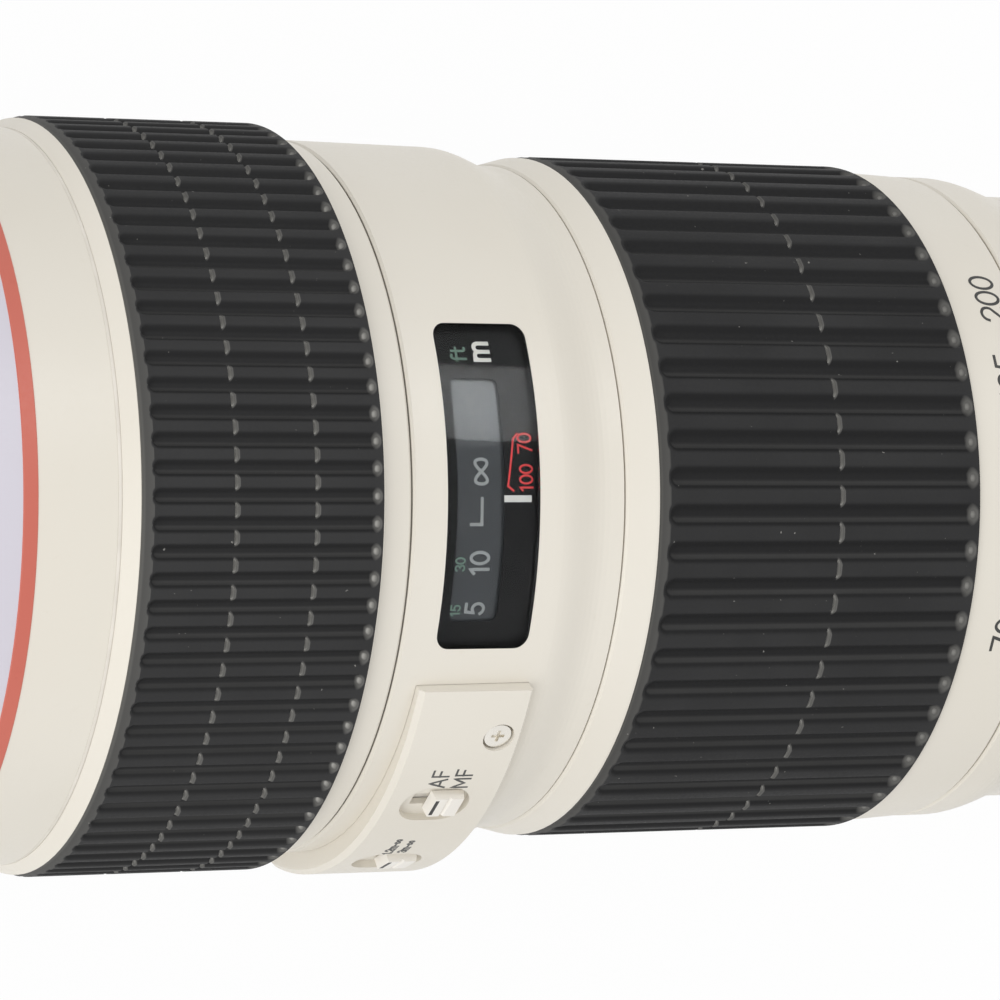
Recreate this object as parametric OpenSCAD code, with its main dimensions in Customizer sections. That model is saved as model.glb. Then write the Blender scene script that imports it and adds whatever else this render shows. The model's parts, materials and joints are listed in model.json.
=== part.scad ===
// Zoom lens for an interchangeable-lens camera, with inner zooming and inner focusing.
// The optical axis lies along X: the bayonet flange faces +X at x = 0 and the front glass looks towards -X.
// +Z is up through the distance window, and the switch panel is on the -Y side.
// Angles named "_angle" are measured round the axis from +Z towards +Y.

/* [Bayonet mount] */
// Thickness of the bayonet flange
mount_flange_t = 3; // [2:0.1:5]
// Diameter of the bayonet flange
mount_flange_d = 64.8; // [63:0.1:65.2]
// Width of the flange's rim outside the bayonet spigot
flange_rim = 7; // [6.4:0.1:7.6]
// How far the bayonet lugs reach out of the spigot
lug_reach = 1.5; // [0.8:0.1:1.7]
// Wall of the bayonet spigot
spigot_wall = 1.4; // [1:0.1:2]
// How far the spigot stands out of the flange
spigot_len = 4.8; // [4:0.1:6]
// Room between the flange and the lugs for the camera's own tabs
lug_gap = 1.5; // [1:0.1:2]
// Thickness of each lug
lug_t = 1.5; // [1:0.1:2]
// Angle that each lug covers
lug_span = 58; // [40:1:70]
// Depth of the relief round the foot of the spigot
relief_depth = 0.4; // [0.2:0.1:0.8]
// How far the mount screws lie inside the edge of the flange
mount_screw_inset = 2.8; // [2.6:0.1:3.2]
// Shank diameter of the mount screws
mount_screw_d = 1.7; // [1.4:0.1:2]
// Length of the mount screws
mount_screw_len = 6; // [5:0.1:7]
// Wall of the rear baffle round its clear bore
baffle_wall = 3.5; // [3:0.1:4.5]
// How far the rear baffle stands out of the flange
baffle_len = 5.5; // [5:0.1:6.5]
// Number of electrical contacts
contact_count = 8; // [5:1:9]

/* [Rear barrel] */
// How far the seat for a tripod collar stands above the mount flange
collar_rise = 0.3; // [0.2:0.05:1]
// Length of the seat for a tripod collar
collar_seat_len = 27.7; // [24:0.1:34]
// Length of the rounded slope in front of the collar seat
rear_slope_len = 8; // [6:0.1:10]
// Length of the plain band between that slope and the zoom ring
rear_band_len = 3; // [2:0.1:8]
// Wall of the rear barrel
rear_wall = 2.2; // [1.6:0.1:2.6]

/* [Zoom ring] */
// How far the zoom grip lies below the focus grip
zoom_drop = 2.55; // [2:0.05:3]
// Length of the zoom grip
zoom_grip_len = 36.45; // [34:0.05:42]
// Thickness of the zoom grip's rubber
zoom_rubber_t = 1.25; // [1:0.05:1.5]
// Number of ribs round the zoom grip
zoom_rib_count = 60; // [48:1:72]
// Depth of the grooves between the zoom ribs
zoom_rib_depth = 0.7; // [0.4:0.05:0.8]
// Length of the flared lip in front of the zoom grip
zoom_lip_len = 3.25; // [2.5:0.05:5]
// How far the front edge of the lip lies below the grip
zoom_lip_drop = 0.85; // [0.5:0.05:1]
// Length of the band that carries the focal length numbers
number_band_len = 8.3; // [7:0.1:14]
// How far the number band lies below the grip at its front edge
number_front_drop = 0.45; // [0.2:0.05:0.6]
// How far the number band lies below the grip at its rear edge
number_rear_drop = 0.9; // [0.6:0.05:1.1]
// Wall of the zoom sleeve under the grip
zoom_sleeve_wall = 1.2; // [1:0.05:1.4]
// Turn of the zoom ring from the rest mark to the wide end
zoom_wide_turn = 24; // [16:1:30]
// Turn of the zoom ring from the rest mark to the tele end
zoom_tele_turn = 36; // [24:1:40]

/* [Main barrel] */
// Length of the main barrel
main_barrel_len = 23.5; // [23:0.1:28]
// How far the front of the main barrel lies below the focus grip
main_front_drop = 1.6; // [1.4:0.05:1.8]
// How far the middle of the main barrel lies below the focus grip
main_mid_drop = 1.85; // [1.8:0.05:2]
// Length of the rounded shoulder down to the zoom ring
shoulder_len = 6.4; // [5:0.1:7]
// Length of the plain tail behind the shoulder
tail_len = 1.5; // [0.8:0.1:2]
// Wall of the main barrel
main_wall = 1; // [0.9:0.05:1.1]

/* [Distance window] */
// Room between the front of the main barrel and the window
window_front = 3.6; // [3.2:0.1:5]
// Length of the window along the axis
window_len = 9.95; // [8:0.05:11]
// Upper end of the window
window_top_angle = 27.7; // [20:0.1:32]
// Lower end of the window
window_low_angle = -24.2; // [-27:0.1:-18]
// Corner radius of the window
window_corner_r = 1.4; // [0.8:0.1:2]
// Thickness of the pane
pane_t = 0.9; // [0.7:0.05:0.95]
// How far the pane lies below the barrel
pane_recess = 0.1; // [0.05:0.05:0.2]

/* [Switch panel] */
// Room between the front of the main barrel and the panel
panel_front = 2.5; // [2:0.1:4]
// Length of the panel along the axis
panel_len = 12.1; // [11.6:0.1:13]
// Upper edge of the panel
panel_top_angle = -30.3; // [-32:0.1:-29]
// Lower edge of the panel
panel_low_angle = -98; // [-110:0.5:-94]
// How far the panel's lower edge stands above the focus grip
panel_rise = 0.75; // [0.4:0.05:1]
// How far the panel's curve is shifted from the axis towards its lower edge
panel_shift = 1.8; // [0:0.1:2]
// Bevel on the front edge of the panel
panel_bevel = 0.5; // [0.2:0.1:0.8]
// Place of the focus mode switch round the barrel
mode_switch_angle = -53; // [-56:0.5:-52]
// Place of the focus range switch round the barrel
range_switch_angle = -73; // [-78:0.5:-72]
// Travel of both switches
switch_travel = 2.2; // [1.5:0.1:2.5]
// Length of a switch knob along the axis
knob_len = 3.5; // [2.4:0.1:3.6]
// Width of a switch knob round the barrel
knob_width = 3; // [2.4:0.1:3.4]
// Depth of the dish round each knob
dish_depth = 0.8; // [0.5:0.05:1]
// How far the panel screws are sunk
screw_sink = 0.3; // [0.1:0.05:0.4]

/* [Focus ring] */
// Diameter over the focus grip, the widest ring of the lens
focus_grip_d = 76; // [75:0.1:78]
// Length of the focus grip
focus_grip_len = 24.75; // [22:0.05:28]
// Thickness of the focus grip's rubber
focus_rubber_t = 1.5; // [1.2:0.05:1.6]
// Number of ribs round the focus grip
focus_rib_count = 90; // [72:1:100]
// Depth of the grooves between the focus ribs
focus_rib_depth = 0.7; // [0.4:0.05:0.9]
// Length of the flared lip in front of the focus grip
focus_lip_len = 1.5; // [1.2:0.1:3]
// Length of the bare edge behind the focus grip
focus_edge_len = 3.45; // [2.6:0.05:5]
// Wall of the focus sleeve under the grip
focus_sleeve_wall = 1.9; // [1.7:0.05:2]
// Turn of the focus ring from infinity to the nearest distance
focus_turn = 125; // [90:1:140]
// Shift of the focusing group from infinity to the nearest distance
focus_travel = 10; // [8:0.5:11]

/* [Front barrel] */
// Length of the plain front barrel
front_barrel_len = 8.1; // [7:0.1:13]
// How far the front barrel lies below the focus grip
front_drop = 1.2; // [1:0.05:1.3]
// Length of the coloured accent ring
accent_len = 1.5; // [1:0.1:3]
// Length of the bare ring in front of the accent ring
name_len = 9.7; // [7.5:0.1:12]
// Length of the filter and hood ring
filter_len = 9; // [8:0.1:12]
// How far the filter ring lies below the focus grip
filter_drop = 2; // [1.8:0.05:2.3]
// Wall of the filter ring outside its thread
filter_wall = 2.9; // [2.4:0.1:3.4]
// Length of the filter thread
filter_thread_len = 5.5; // [4:0.1:6]

/* [Optics] */
// Wall of the front cell round the front glass
front_cell_wall = 3; // [2.8:0.1:4]
// Shift of the variator from the wide end to the tele end
variator_travel = 26; // [20:0.5:28]
// Shift of the compensator from the wide end to the tele end
compensator_travel = 8; // [6.5:0.5:9]
// Number of blades in the iris
blade_count = 8; // [8:1:8]
// Radius of the fully open iris
iris_open_r = 15; // [13.5:0.1:15.5]
// Turn of the iris ring from open to closed
iris_turn = 32; // [20:1:34]

/* [Fits] */
// Radial clearance of a ring or shaft that turns
run_clear = 0.08; // [0.03:0.01:0.1]
// Radial clearance of a piece that is screwed or glued in place
seat_clear = 0.05; // [0.02:0.01:0.1]
// Clearance round a follower pin in its slots
pin_clear = 0.08; // [0.05:0.01:0.1]
// Gap beside a ring that turns
ring_gap = 0.2; // [0.15:0.05:0.3]
// Free space between inner pieces that pass each other
free_gap = 0.3; // [0.2:0.05:0.4]
// Smooth rim in front of the ribs of both grips
grip_front_rim = 1.1; // [0.8:0.1:1.6]
// Smooth rim behind the ribs of both grips
grip_rear_rim = 0.5; // [0.3:0.1:0.8]
// Small chamfer on visible edges
edge = 0.25; // [0.1:0.05:0.35]

/* [Hidden] */
$fn = 180;

// Stations along the axis, from the flange forwards
x_mount_front = -mount_flange_t;
x_seat_front = x_mount_front - collar_seat_len;
x_slope_front = x_seat_front - rear_slope_len;
x_rear_front = x_slope_front - rear_band_len;
x_zoom_rear = x_rear_front - ring_gap;
x_zoom_grip_rear = x_zoom_rear - number_band_len;
x_zoom_grip_front = x_zoom_grip_rear - zoom_grip_len;
x_zoom_front = x_zoom_grip_front - zoom_lip_len;
x_main_rear = x_zoom_front - ring_gap;
x_main_front = x_main_rear - main_barrel_len;
x_focus_rear = x_main_front - ring_gap;
x_focus_grip_rear = x_focus_rear - focus_edge_len;
x_focus_grip_front = x_focus_grip_rear - focus_grip_len;
x_focus_front = x_focus_grip_front - focus_lip_len;
x_front_barrel_rear = x_focus_front - ring_gap;
x_front_barrel_front = x_front_barrel_rear - front_barrel_len;
x_accent_front = x_front_barrel_front - accent_len;
x_name_front = x_accent_front - name_len;
x_front = x_name_front - filter_len;

// Radii of the outer shells
focus_r = focus_grip_d / 2;
zoom_r = focus_r - zoom_drop;
front_r = focus_r - front_drop;
filter_r = focus_r - filter_drop;
filter_thread_r = filter_r - filter_wall;
main_front_r = focus_r - main_front_drop;
main_mid_r = focus_r - main_mid_drop;
main_shell_r = main_mid_r - main_wall;
panel_r = focus_r + panel_rise;
zoom_lip_r = zoom_r - zoom_lip_drop;
number_front_r = zoom_r - number_front_drop;
number_rear_r = zoom_r - number_rear_drop;
main_tail_r = zoom_lip_r - ring_gap;
mount_r = mount_flange_d / 2;
collar_r = mount_r + collar_rise;
rear_bore_r = collar_r - rear_wall;
rear_front_r = max(number_rear_r, collar_r);

// Radii of the fixed tubes and the sleeves that turn on them
focus_sleeve_r = focus_r - focus_rubber_t;
focus_bore_r = focus_sleeve_r - focus_sleeve_wall;
front_tube_r = focus_bore_r - run_clear;
zoom_sleeve_r = zoom_r - zoom_rubber_t;
zoom_bore_r = zoom_sleeve_r - zoom_sleeve_wall;
main_tube_r = zoom_bore_r - run_clear;
main_tube_wall = 2.7;
main_bore_r = main_tube_r - main_tube_wall;
motor_seat_wall = 1.1;
motor_seat_r = main_bore_r + motor_seat_wall;
spigot_cover = 1.18;
spigot_tube_wall = 1.2;
spigot_tube_r = collar_r - spigot_cover;
spigot_tube_bore_r = spigot_tube_r - spigot_tube_wall;
neck_r = min(main_bore_r, spigot_tube_bore_r);
neck_len = 1.5;
main_collar_r = main_tube_r + 1;
front_tube_wall = 1.5;
front_tube_bore_r = front_tube_r - front_tube_wall;
front_glass_r = front_tube_bore_r - front_cell_wall;
guide_ledge = 1;

// Focusing helicoid, from outside to inside
follower_r = 1.2;
slot_half = follower_r + pin_clear;
focus_cam_r = main_bore_r - 0.2;
focus_cam_wall = 1.3;
focus_guide_r = focus_cam_r - focus_cam_wall - run_clear;
focus_guide_wall = 1.3;
focus_cell_r = focus_guide_r - focus_guide_wall - run_clear;
focus_seat_r = focus_cell_r - 2.5;
focus_angles = [60, 180, 300];
drive_turn = focus_turn / 2;

// Zooming helicoid, from outside to inside
cam_tube_r = main_bore_r - 2.3;
cam_tube_wall = 1.6;
zoom_guide_r = cam_tube_r - cam_tube_wall - run_clear;
zoom_guide_wall = 1.4;
zoom_cell_r = zoom_guide_r - zoom_guide_wall - run_clear;
zoom_seat_r = zoom_cell_r - 3;
variator_angles = [0, 120, 240];
compensator_angles = [60, 180, 300];
zoom_turn = zoom_wide_turn + zoom_tele_turn;

// Lengthwise places of the inner groups, tied to the barrels round them
x_tube_joint = x_main_front - 11.8;
x_front_tube_rear = x_focus_rear - 3.6;
joint_rib = 2;
joint_bore_r = main_bore_r + 0.2;
x_guide_ledge = x_focus_grip_front + 0.5;
guide_flange_t = 1.5;
x_focus_pin = x_focus_rear - 9.1;
focus_cell_len = 9;
focus_seat_at = 6;
focus_lens_t = 5;
x_cell_front = x_name_front + 3;
cell_flange_t = 2;
x_tube_front = x_cell_front + cell_flange_t;
front_cell_len = 15;
retainer_t = 3.2;
front_element_t = 6;
front_rib_t = 1;
front_doublet_t = 3.8;
glass_bevel = 1.8;
x_front_element = x_cell_front + retainer_t;
x_front_rib = x_front_element + front_element_t;
x_front_doublet = x_front_rib + front_rib_t;
x_front_collar = x_front_barrel_front + 2.7;
front_collar_len = 5;
front_collar_r = front_tube_r + 0.8;

// Roller drive between the focus ring, the motor's rotor and the focus cam
roller_r = 1.75;
roller_len = 1.2;
roller_shaft_r = 0.6;
roller_count = 3;
roller_angles = [20, 140, 260];
roller_gap = 0.05;
roller_in_r = motor_seat_r + 0.6;
roller_out_r = roller_in_r + roller_len;
x_roller = x_main_front + 2.3;
x_hub_face = x_roller - roller_r - roller_gap;
x_rotor_face = x_roller + roller_r + roller_gap;
hub_t = 2.2;
drum_gap = 0.4;
drum_wall = 0.6;
drum_r = main_shell_r - drum_gap;
drum_bore_r = drum_r - drum_wall;
drive_in_r = roller_out_r + 0.15;
x_drive_front = x_hub_face + free_gap;
drive_flange_t = 0.9;
drive_len = 3;
x_drum_front = x_drive_front + drive_flange_t;
x_window_front = x_main_front + window_front;
x_drum_rear = x_window_front + window_len + 1;
key_width = 5;
key_angle = 80;
x_key_front = x_roller - 1.2;
x_key_rear = x_roller + 1.2;
x_focus_cam_rear = x_rotor_face - 0.2;

// Ring motor
rotor_t = 2.5;
stator_t = 5;
stator_teeth = 48;
stator_tooth_h = 1.8;
motor_r = roller_out_r;
x_rotor_rear = x_rotor_face + rotor_t;
x_stator_rear = x_rotor_rear + stator_t;
x_main_land = x_main_rear - 1.4;

// Zoom groups
spigot_lead = 5.1;
x_spigot_front = x_seat_front - spigot_lead;
x_shelf = x_spigot_front - 10.2;
shelf_t = 1.5;
shelf_bore_r = main_bore_r - 1.2;
zoom_flange_t = 1.5;
x_zoom_guide_front = x_main_front + 6.6;
x_cam_rear = x_shelf - shelf_t - 0.5;
zoom_key_len = 3.2;
zoom_key_width = 5;
zoom_key_angle = 120;
x_compensator_pin = x_cam_rear - 8.5;
compensator_len = 9;
compensator_seat_at = 6;
compensator_lens_t = 4;
x_variator_pin = x_compensator_pin - 33.1;
variator_len = 12;
variator_seat_at = 9;
variator_lens_t = 6;

// Iris
x_iris = x_shelf + zoom_flange_t;
iris_plate_t = 1.2;
blade_t = 0.12;
blade_pitch = 0.22;
iris_ring_t = 1.2;
iris_wall = 2.7;
iris_r = main_bore_r - seat_clear;
iris_ring_r = iris_r - iris_wall - run_clear;
blade_pin_r = 0.6;
blade_in_r = iris_open_r + 0.4;
blade_out_r = blade_in_r + 4.8;
blade_pivot_r = blade_out_r + 1.3;
blade_pin_angle = 14;
blade_span = 115;
x_blades = x_iris + iris_plate_t + 0.2;
x_iris_ring = x_blades + blade_count * blade_pitch + 0.2;
x_iris_rear = x_iris_ring + iris_ring_t + free_gap;

// Relay group
relay_flange_t = 1.5;
relay_r = 21.5;
relay_front_bore = 19;
relay_mid_bore = 16.5;
relay_rear_bore = 18;
x_relay_step = x_iris_rear + 8.7;
relay_mid_len = 10;
x_relay_rear_step = x_relay_step + relay_mid_len;
relay_tail = 6.5;
relay_doublet_t = 6;
rear_element_t = 4;
x_relay_rear = x_relay_rear_step + relay_tail;
x_spigot_rear = x_spigot_front + 7.8;

// Rear barrel and mount
screw_land = 2;
mount_screw_pitch_r = mount_r - mount_screw_inset;
rear_land_r = mount_screw_pitch_r - screw_land;
rear_land_t = 5;
spigot_r = mount_r - flange_rim;
lug_r = spigot_r + lug_reach;
relief_r = lug_r + free_gap;
spigot_bore_r = spigot_r - spigot_wall;
baffle_ledge = 1.4;
ledge_t = 1.5;
mount_bore_r = spigot_bore_r - baffle_ledge;
throat_r = spigot_bore_r - baffle_wall;
mount_screw_r = mount_screw_d / 2;
mount_head_r = mount_screw_r * 2;
mount_screw_angles = [45, 135, 225, 315];
contact_half_angle = 27;
contact_r = 0.8;
contact_pitch_angle = 5.6;
contact_mid_r = (throat_r + spigot_bore_r) / 2;
contact_sink = 2;
contact_proud = 0.4;
board_t = 1.2;
board_width = 6.9;
lock_notch_w = 2.6;
lock_notch_angle = 100;

// Window and panel
window_flange = 0.7;
pane_r = main_mid_r - pane_recess;
pane_step_r = pane_r - pane_t / 2;
pane_bore_r = pane_r - pane_t;
pane_bed = 0.02;
x_panel_front = x_main_front + panel_front;
x_panel_rear = x_panel_front + panel_len;
panel_seat_r = main_mid_r - 0.25;
panel_web = 0.7;
x_switch = x_panel_front + 5.7;
dish_len = 7.3;
dish_width = 5.4;
stem_len = 2;
stem_width = 1.6;
slider_len = 6;
slider_width = 3.6;
slider_t = 0.5;
slide_clear = 0.1;
knob_proud = 0.4;
panel_curve_r = panel_r - panel_shift;
screw_room = 0.25;
panel_screw_r = 0.7;
panel_head_r = 1.4;
panel_head_t = 0.8;
panel_screws_at = [[9.7, panel_top_angle - 8.5], [panel_len - 9.4, panel_low_angle + 6]];

paint = [0.88, 0.87, 0.83];
rubber = [0.2, 0.2, 0.2];
black = [0.09, 0.09, 0.1];
metal = [0.62, 0.62, 0.64];
brass = [0.78, 0.66, 0.36];
glass = [0.72, 0.82, 0.86, 0.5];

// Turns the drawing plane to face along the axis: local z runs along X, local x along Y, local y along Z
module facing() {
    rotate([90, 0, 90]) children();
}

// The points of a profile without those that fall on their neighbour
function distinct(points) = [
    for (i = [0 : len(points) - 1])
        if (norm(points[i] - points[(i + 1) % len(points)]) > 0.001) points[i]
];

// A turned piece from its half profile of [radius, x] points
module lathe(points) {
    facing() rotate_extrude() polygon(distinct(points));
}

// A turned piece that covers only the angles from a0 to a1
module lathe_part(points, a0, a1) {
    facing() rotate([0, 0, 90 - a1]) rotate_extrude(angle = a1 - a0) polygon(points);
}

function band(x0, x1, r0, r1) = [[r0, x0], [r1, x0], [r1, x1], [r0, x1]];

// A plain ring between two stations and two radii
module ring(x0, x1, r_in, r_out) {
    lathe(band(x0, x1, r_in, r_out));
}

// A part of a ring
module ring_part(x0, x1, r_in, r_out, a0, a1) {
    lathe_part(band(x0, x1, r_in, r_out), a0, a1);
}

// Places children that are drawn at the top of the lens at an angle round the axis
module at_angle(a) {
    rotate([-a, 0, 0]) children();
}

// A radial pin or hole
module radial_pin(x, a, r0, r1, pin_r) {
    at_angle(a) translate([x, 0, r0]) cylinder(h = r1 - r0, r = pin_r);
}

// A straight slot along the axis with round ends
module straight_slot(x0, x1, a, r0, r1, half) {
    at_angle(a) translate([x0, -half, r0]) cube([x1 - x0, 2 * half, r1 - r0]);
    radial_pin(x0, a, r0, r1, half);
    radial_pin(x1, a, r0, r1, half);
}

// A helical cam slot: the follower moves from x0 at angle a0 to x1 at angle a1
module cam_slot(x0, x1, a0, a1, r0, r1, half) {
    lead = (a1 - a0) / (x1 - x0);
    lean = atan(r1 * lead * PI / 180);
    across = 2 * half / cos(lean);
    start = x0 - half;
    run = x1 - x0 + 2 * half;
    translate([start, 0, 0])
        facing()
            rotate([0, 0, 90 - a0 + half * lead])
                linear_extrude(height = run, twist = run * lead, slices = 24, $fn = 4)
                    translate([r0 - 1, -across / 2]) square([r1 - r0 + 2, across]);
}

// A lens element: a disc with a ground rim and a spherical cap or hollow on each side.
// A positive curve bulges outwards and a negative one is hollow.
module element(x0, x1, r, cap_r, front_curve, rear_curve) {
    module ball(curve, x_rim, side) {
        reach = sqrt(curve * curve - cap_r * cap_r);
        bulge = side * sign(curve);
        translate([x_rim - bulge * reach, 0, 0]) rotate([0, 0, 90 + 90 * bulge]) sphere(r = abs(curve));
    }
    module cap(curve, x_rim, side) {
        intersection() {
            ball(curve, x_rim, side);
            ring(min(x_rim, x_rim + side * cap_r), max(x_rim, x_rim + side * cap_r), 0, 2 * cap_r);
        }
    }
    difference() {
        union() {
            ring(x0, x1, 0, r);
            if (front_curve > 0) cap(front_curve, x0, -1);
            if (rear_curve > 0) cap(rear_curve, x1, 1);
        }
        if (front_curve < 0) ball(front_curve, x0, -1);
        if (rear_curve < 0) ball(rear_curve, x1, 1);
    }
}

// Outline of a ribbed grip: flat ribs with sloped flanks and flat grooves between them
function rib_outline(count, top_r, depth) = [
    for (i = [0 : count - 1])
        for (corner = [[0.21, 0], [0.33, 1], [0.67, 1], [0.79, 0]])
            let (a = (i + corner[0]) * 360 / count, r = top_r - corner[1] * depth)
                [r * cos(a), r * sin(a)]
];

// A rubber grip with a smooth rim at each end and ribs between them
module ribbed_grip(x0, x1, r_in, r_out, depth, count) {
    rim_r = r_out - 0.06;
    difference() {
        union() {
            lathe([[r_in, x0], [rim_r - edge, x0], [rim_r, x0 + edge], [rim_r, x0 + grip_front_rim],
                   [r_in, x0 + grip_front_rim]]);
            translate([x0 + grip_front_rim, 0, 0])
                facing()
                    linear_extrude(x1 - x0 - grip_front_rim - grip_rear_rim)
                        polygon(rib_outline(count, r_out, depth));
            ring(x1 - grip_rear_rim, x1, r_in, r_out - depth / 2);
        }
        ring(x0 - 1, x1 + 1, 0, r_in);
    }
}

// Half profile of a smooth shoulder between two radii
function shoulder(x0, x1, r0, r1) = [
    for (i = [0 : 10])
        let (u = i / 10)
            [r0 + (r1 - r0) * (1 - cos(180 * u)) / 2, x0 + (x1 - x0) * u]
];

module front_tube() {
    color(metal)
        lathe([
            [front_tube_bore_r, x_tube_front], [front_tube_r, x_tube_front],
            [front_tube_r, x_front_collar], [front_collar_r, x_front_collar],
            [front_collar_r, x_front_collar + front_collar_len],
            [front_tube_r, x_front_collar + front_collar_len],
            [front_tube_r, x_front_tube_rear], [motor_seat_r + seat_clear, x_front_tube_rear],
            [motor_seat_r + seat_clear, x_tube_joint], [joint_bore_r, x_tube_joint],
            [joint_bore_r, x_tube_joint - joint_rib],
            [front_tube_bore_r - guide_ledge, x_tube_joint - joint_rib],
            [front_tube_bore_r - guide_ledge, x_guide_ledge], [front_tube_bore_r, x_guide_ledge]
        ]);
}

module main_tube() {
    key_half = (key_width / 2 + free_gap) / motor_seat_r * 180 / PI;
    zoom_key_half = (zoom_key_width / 2 + free_gap) / main_bore_r * 180 / PI;
    color(metal)
        difference() {
            lathe([
                [main_bore_r, x_tube_joint], [motor_seat_r, x_tube_joint],
                [motor_seat_r, x_stator_rear], [main_collar_r, x_stator_rear],
                [main_collar_r, x_main_land], [main_tube_r, x_main_land],
                [main_tube_r, x_spigot_front], [spigot_tube_r, x_spigot_front],
                [spigot_tube_r, x_spigot_rear], [spigot_tube_bore_r, x_spigot_rear],
                [spigot_tube_bore_r, x_spigot_front + neck_len], [neck_r, x_spigot_front + neck_len],
                [neck_r, x_spigot_front - neck_len], [main_bore_r, x_spigot_front - neck_len],
                [main_bore_r, x_shelf], [shelf_bore_r, x_shelf],
                [shelf_bore_r, x_shelf - shelf_t], [main_bore_r, x_shelf - shelf_t]
            ]);
            ring_part(x_key_front - free_gap, x_key_rear + free_gap, main_bore_r - 1, motor_seat_r + 1,
                      key_angle - key_half, key_angle + drive_turn + key_half);
            ring_part(x_cam_rear - zoom_key_len - free_gap, x_cam_rear + free_gap,
                      main_bore_r - 1, main_tube_r + 1,
                      zoom_key_angle - zoom_tele_turn - zoom_key_half,
                      zoom_key_angle + zoom_wide_turn + zoom_key_half);
        }
}

module filter_ring() {
    lip_r = front_glass_r + 1;
    groove_0 = x_front + 3;
    groove_1 = x_front + 5;
    groove_r = filter_r - 0.9;
    notch_span = 24;
    color(black)
        difference() {
            lathe([
                [filter_thread_r, x_front], [filter_r - 2 * edge, x_front], [filter_r, x_front + 2 * edge],
                [filter_r, groove_0], [groove_r, groove_0], [groove_r, groove_1], [filter_r, groove_1],
                [filter_r, x_name_front], [front_tube_r, x_name_front], [front_tube_r, x_cell_front],
                [lip_r, x_cell_front], [lip_r, x_front + filter_thread_len],
                [filter_thread_r, x_front + filter_thread_len]
            ]);
            for (a = [0, 120, 240])
                ring_part(x_front - 1, groove_0 + 0.5, groove_r + 0.1, filter_r + 1, a, a + notch_span);
        }
}

module name_ring() {
    color(paint)
        lathe([
            [front_tube_r + seat_clear, x_name_front], [front_r - edge, x_name_front],
            [front_r, x_name_front + edge], [front_r, x_accent_front],
            [front_tube_r + seat_clear, x_accent_front]
        ]);
}

module accent_ring() {
    proud = 0.1;
    color([0.78, 0.2, 0.16])
        lathe([
            [front_tube_r + seat_clear, x_accent_front], [front_r, x_accent_front],
            [front_r + proud, x_accent_front + proud], [front_r + proud, x_front_barrel_front - proud],
            [front_r, x_front_barrel_front], [front_tube_r + seat_clear, x_front_barrel_front]
        ]);
}

module front_barrel() {
    color(paint)
        lathe([
            [front_tube_r + seat_clear, x_front_barrel_front], [front_r, x_front_barrel_front],
            [front_r, x_front_barrel_rear - edge], [front_r - edge, x_front_barrel_rear],
            [front_collar_r + seat_clear, x_front_barrel_rear], [front_collar_r + seat_clear, x_front_collar],
            [front_tube_r + seat_clear, x_front_collar]
        ]);
}

// Points of a rectangle with round corners, centred on the origin
function round_corners(len, width, r) = [
    for (c = [[1, 1, 0], [-1, 1, 90], [-1, -1, 180], [1, -1, 270]])
        for (turn = [0 : 15 : 90])
            [c[0] * (len / 2 - r) + r * cos(c[2] + turn), c[1] * (width / 2 - r) + r * sin(c[2] + turn)]
];

// The window's block between two radii, larger by grow on every side
module window_block(r0, r1, grow) {
    half_angle = (window_top_angle - window_low_angle) / 2;
    width = 2 * main_mid_r * sin(half_angle);
    intersection() {
        at_angle(window_low_angle + half_angle)
            translate([x_window_front + window_len / 2, 0, 0])
                linear_extrude(main_front_r + 2)
                    polygon(round_corners(window_len + 2 * grow, width + 2 * grow, window_corner_r + grow));
        ring(x_main_front, x_main_rear, r0, r1);
    }
}

// The panel's sector between two radii, larger by grow on every side
module panel_wedge(r0, r1, grow) {
    grow_angle = grow / main_mid_r * 180 / PI;
    ring_part(x_panel_front - grow, x_panel_rear + grow, r0, r1,
              panel_low_angle - grow_angle, panel_top_angle + grow_angle);
}

// Height of the panel's face above the axis at an angle round the barrel
function panel_top(a) =
    let (d = a - panel_low_angle)
        panel_shift * cos(d) + sqrt(pow(panel_curve_r, 2) - pow(panel_shift * sin(d), 2));

// The panel's plate: its face is a cylinder shifted towards the lower edge
module panel_plate() {
    intersection() {
        panel_wedge(panel_seat_r, panel_r + 1, 0);
        translate([0, panel_shift * sin(panel_low_angle), panel_shift * cos(panel_low_angle)])
            lathe([
                [0, x_panel_front], [panel_curve_r - panel_bevel, x_panel_front],
                [panel_curve_r, x_panel_front + panel_bevel], [panel_curve_r, x_panel_rear - edge],
                [panel_curve_r - edge, x_panel_rear], [0, x_panel_rear]
            ]);
    }
}

module main_barrel() {
    x_tail = x_main_rear - tail_len;
    x_shoulder = x_tail - shoulder_len;
    x_inner = x_shoulder - 1;
    color(paint)
        difference() {
            lathe(concat(
                [[main_shell_r, x_main_front], [main_front_r - edge, x_main_front],
                 [main_front_r, x_main_front + edge]],
                shoulder(x_shoulder, x_tail, main_mid_r, main_tail_r),
                [[main_tail_r, x_main_rear], [main_tube_r + seat_clear, x_main_rear],
                 [main_tube_r + seat_clear, x_main_land],
                 [main_collar_r + seat_clear, x_main_land], [main_collar_r + seat_clear, x_main_land - 1.5],
                 [main_shell_r, x_inner]]
            ));
            window_block(pane_step_r, main_front_r + 1, 0);
            window_block(main_shell_r - 1, pane_step_r, window_flange);
            panel_wedge(panel_seat_r - seat_clear, main_front_r + 1, seat_clear);
            for (s = panel_screws_at)
                radial_pin(x_panel_front + s[0], s[1], panel_seat_r - main_wall / 2, panel_r, panel_screw_r);
        }
}

module window_pane() {
    color(glass) {
        window_block(pane_bore_r, pane_r, -seat_clear);
        window_block(pane_bore_r, pane_step_r - pane_bed, window_flange - seat_clear);
    }
}

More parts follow.
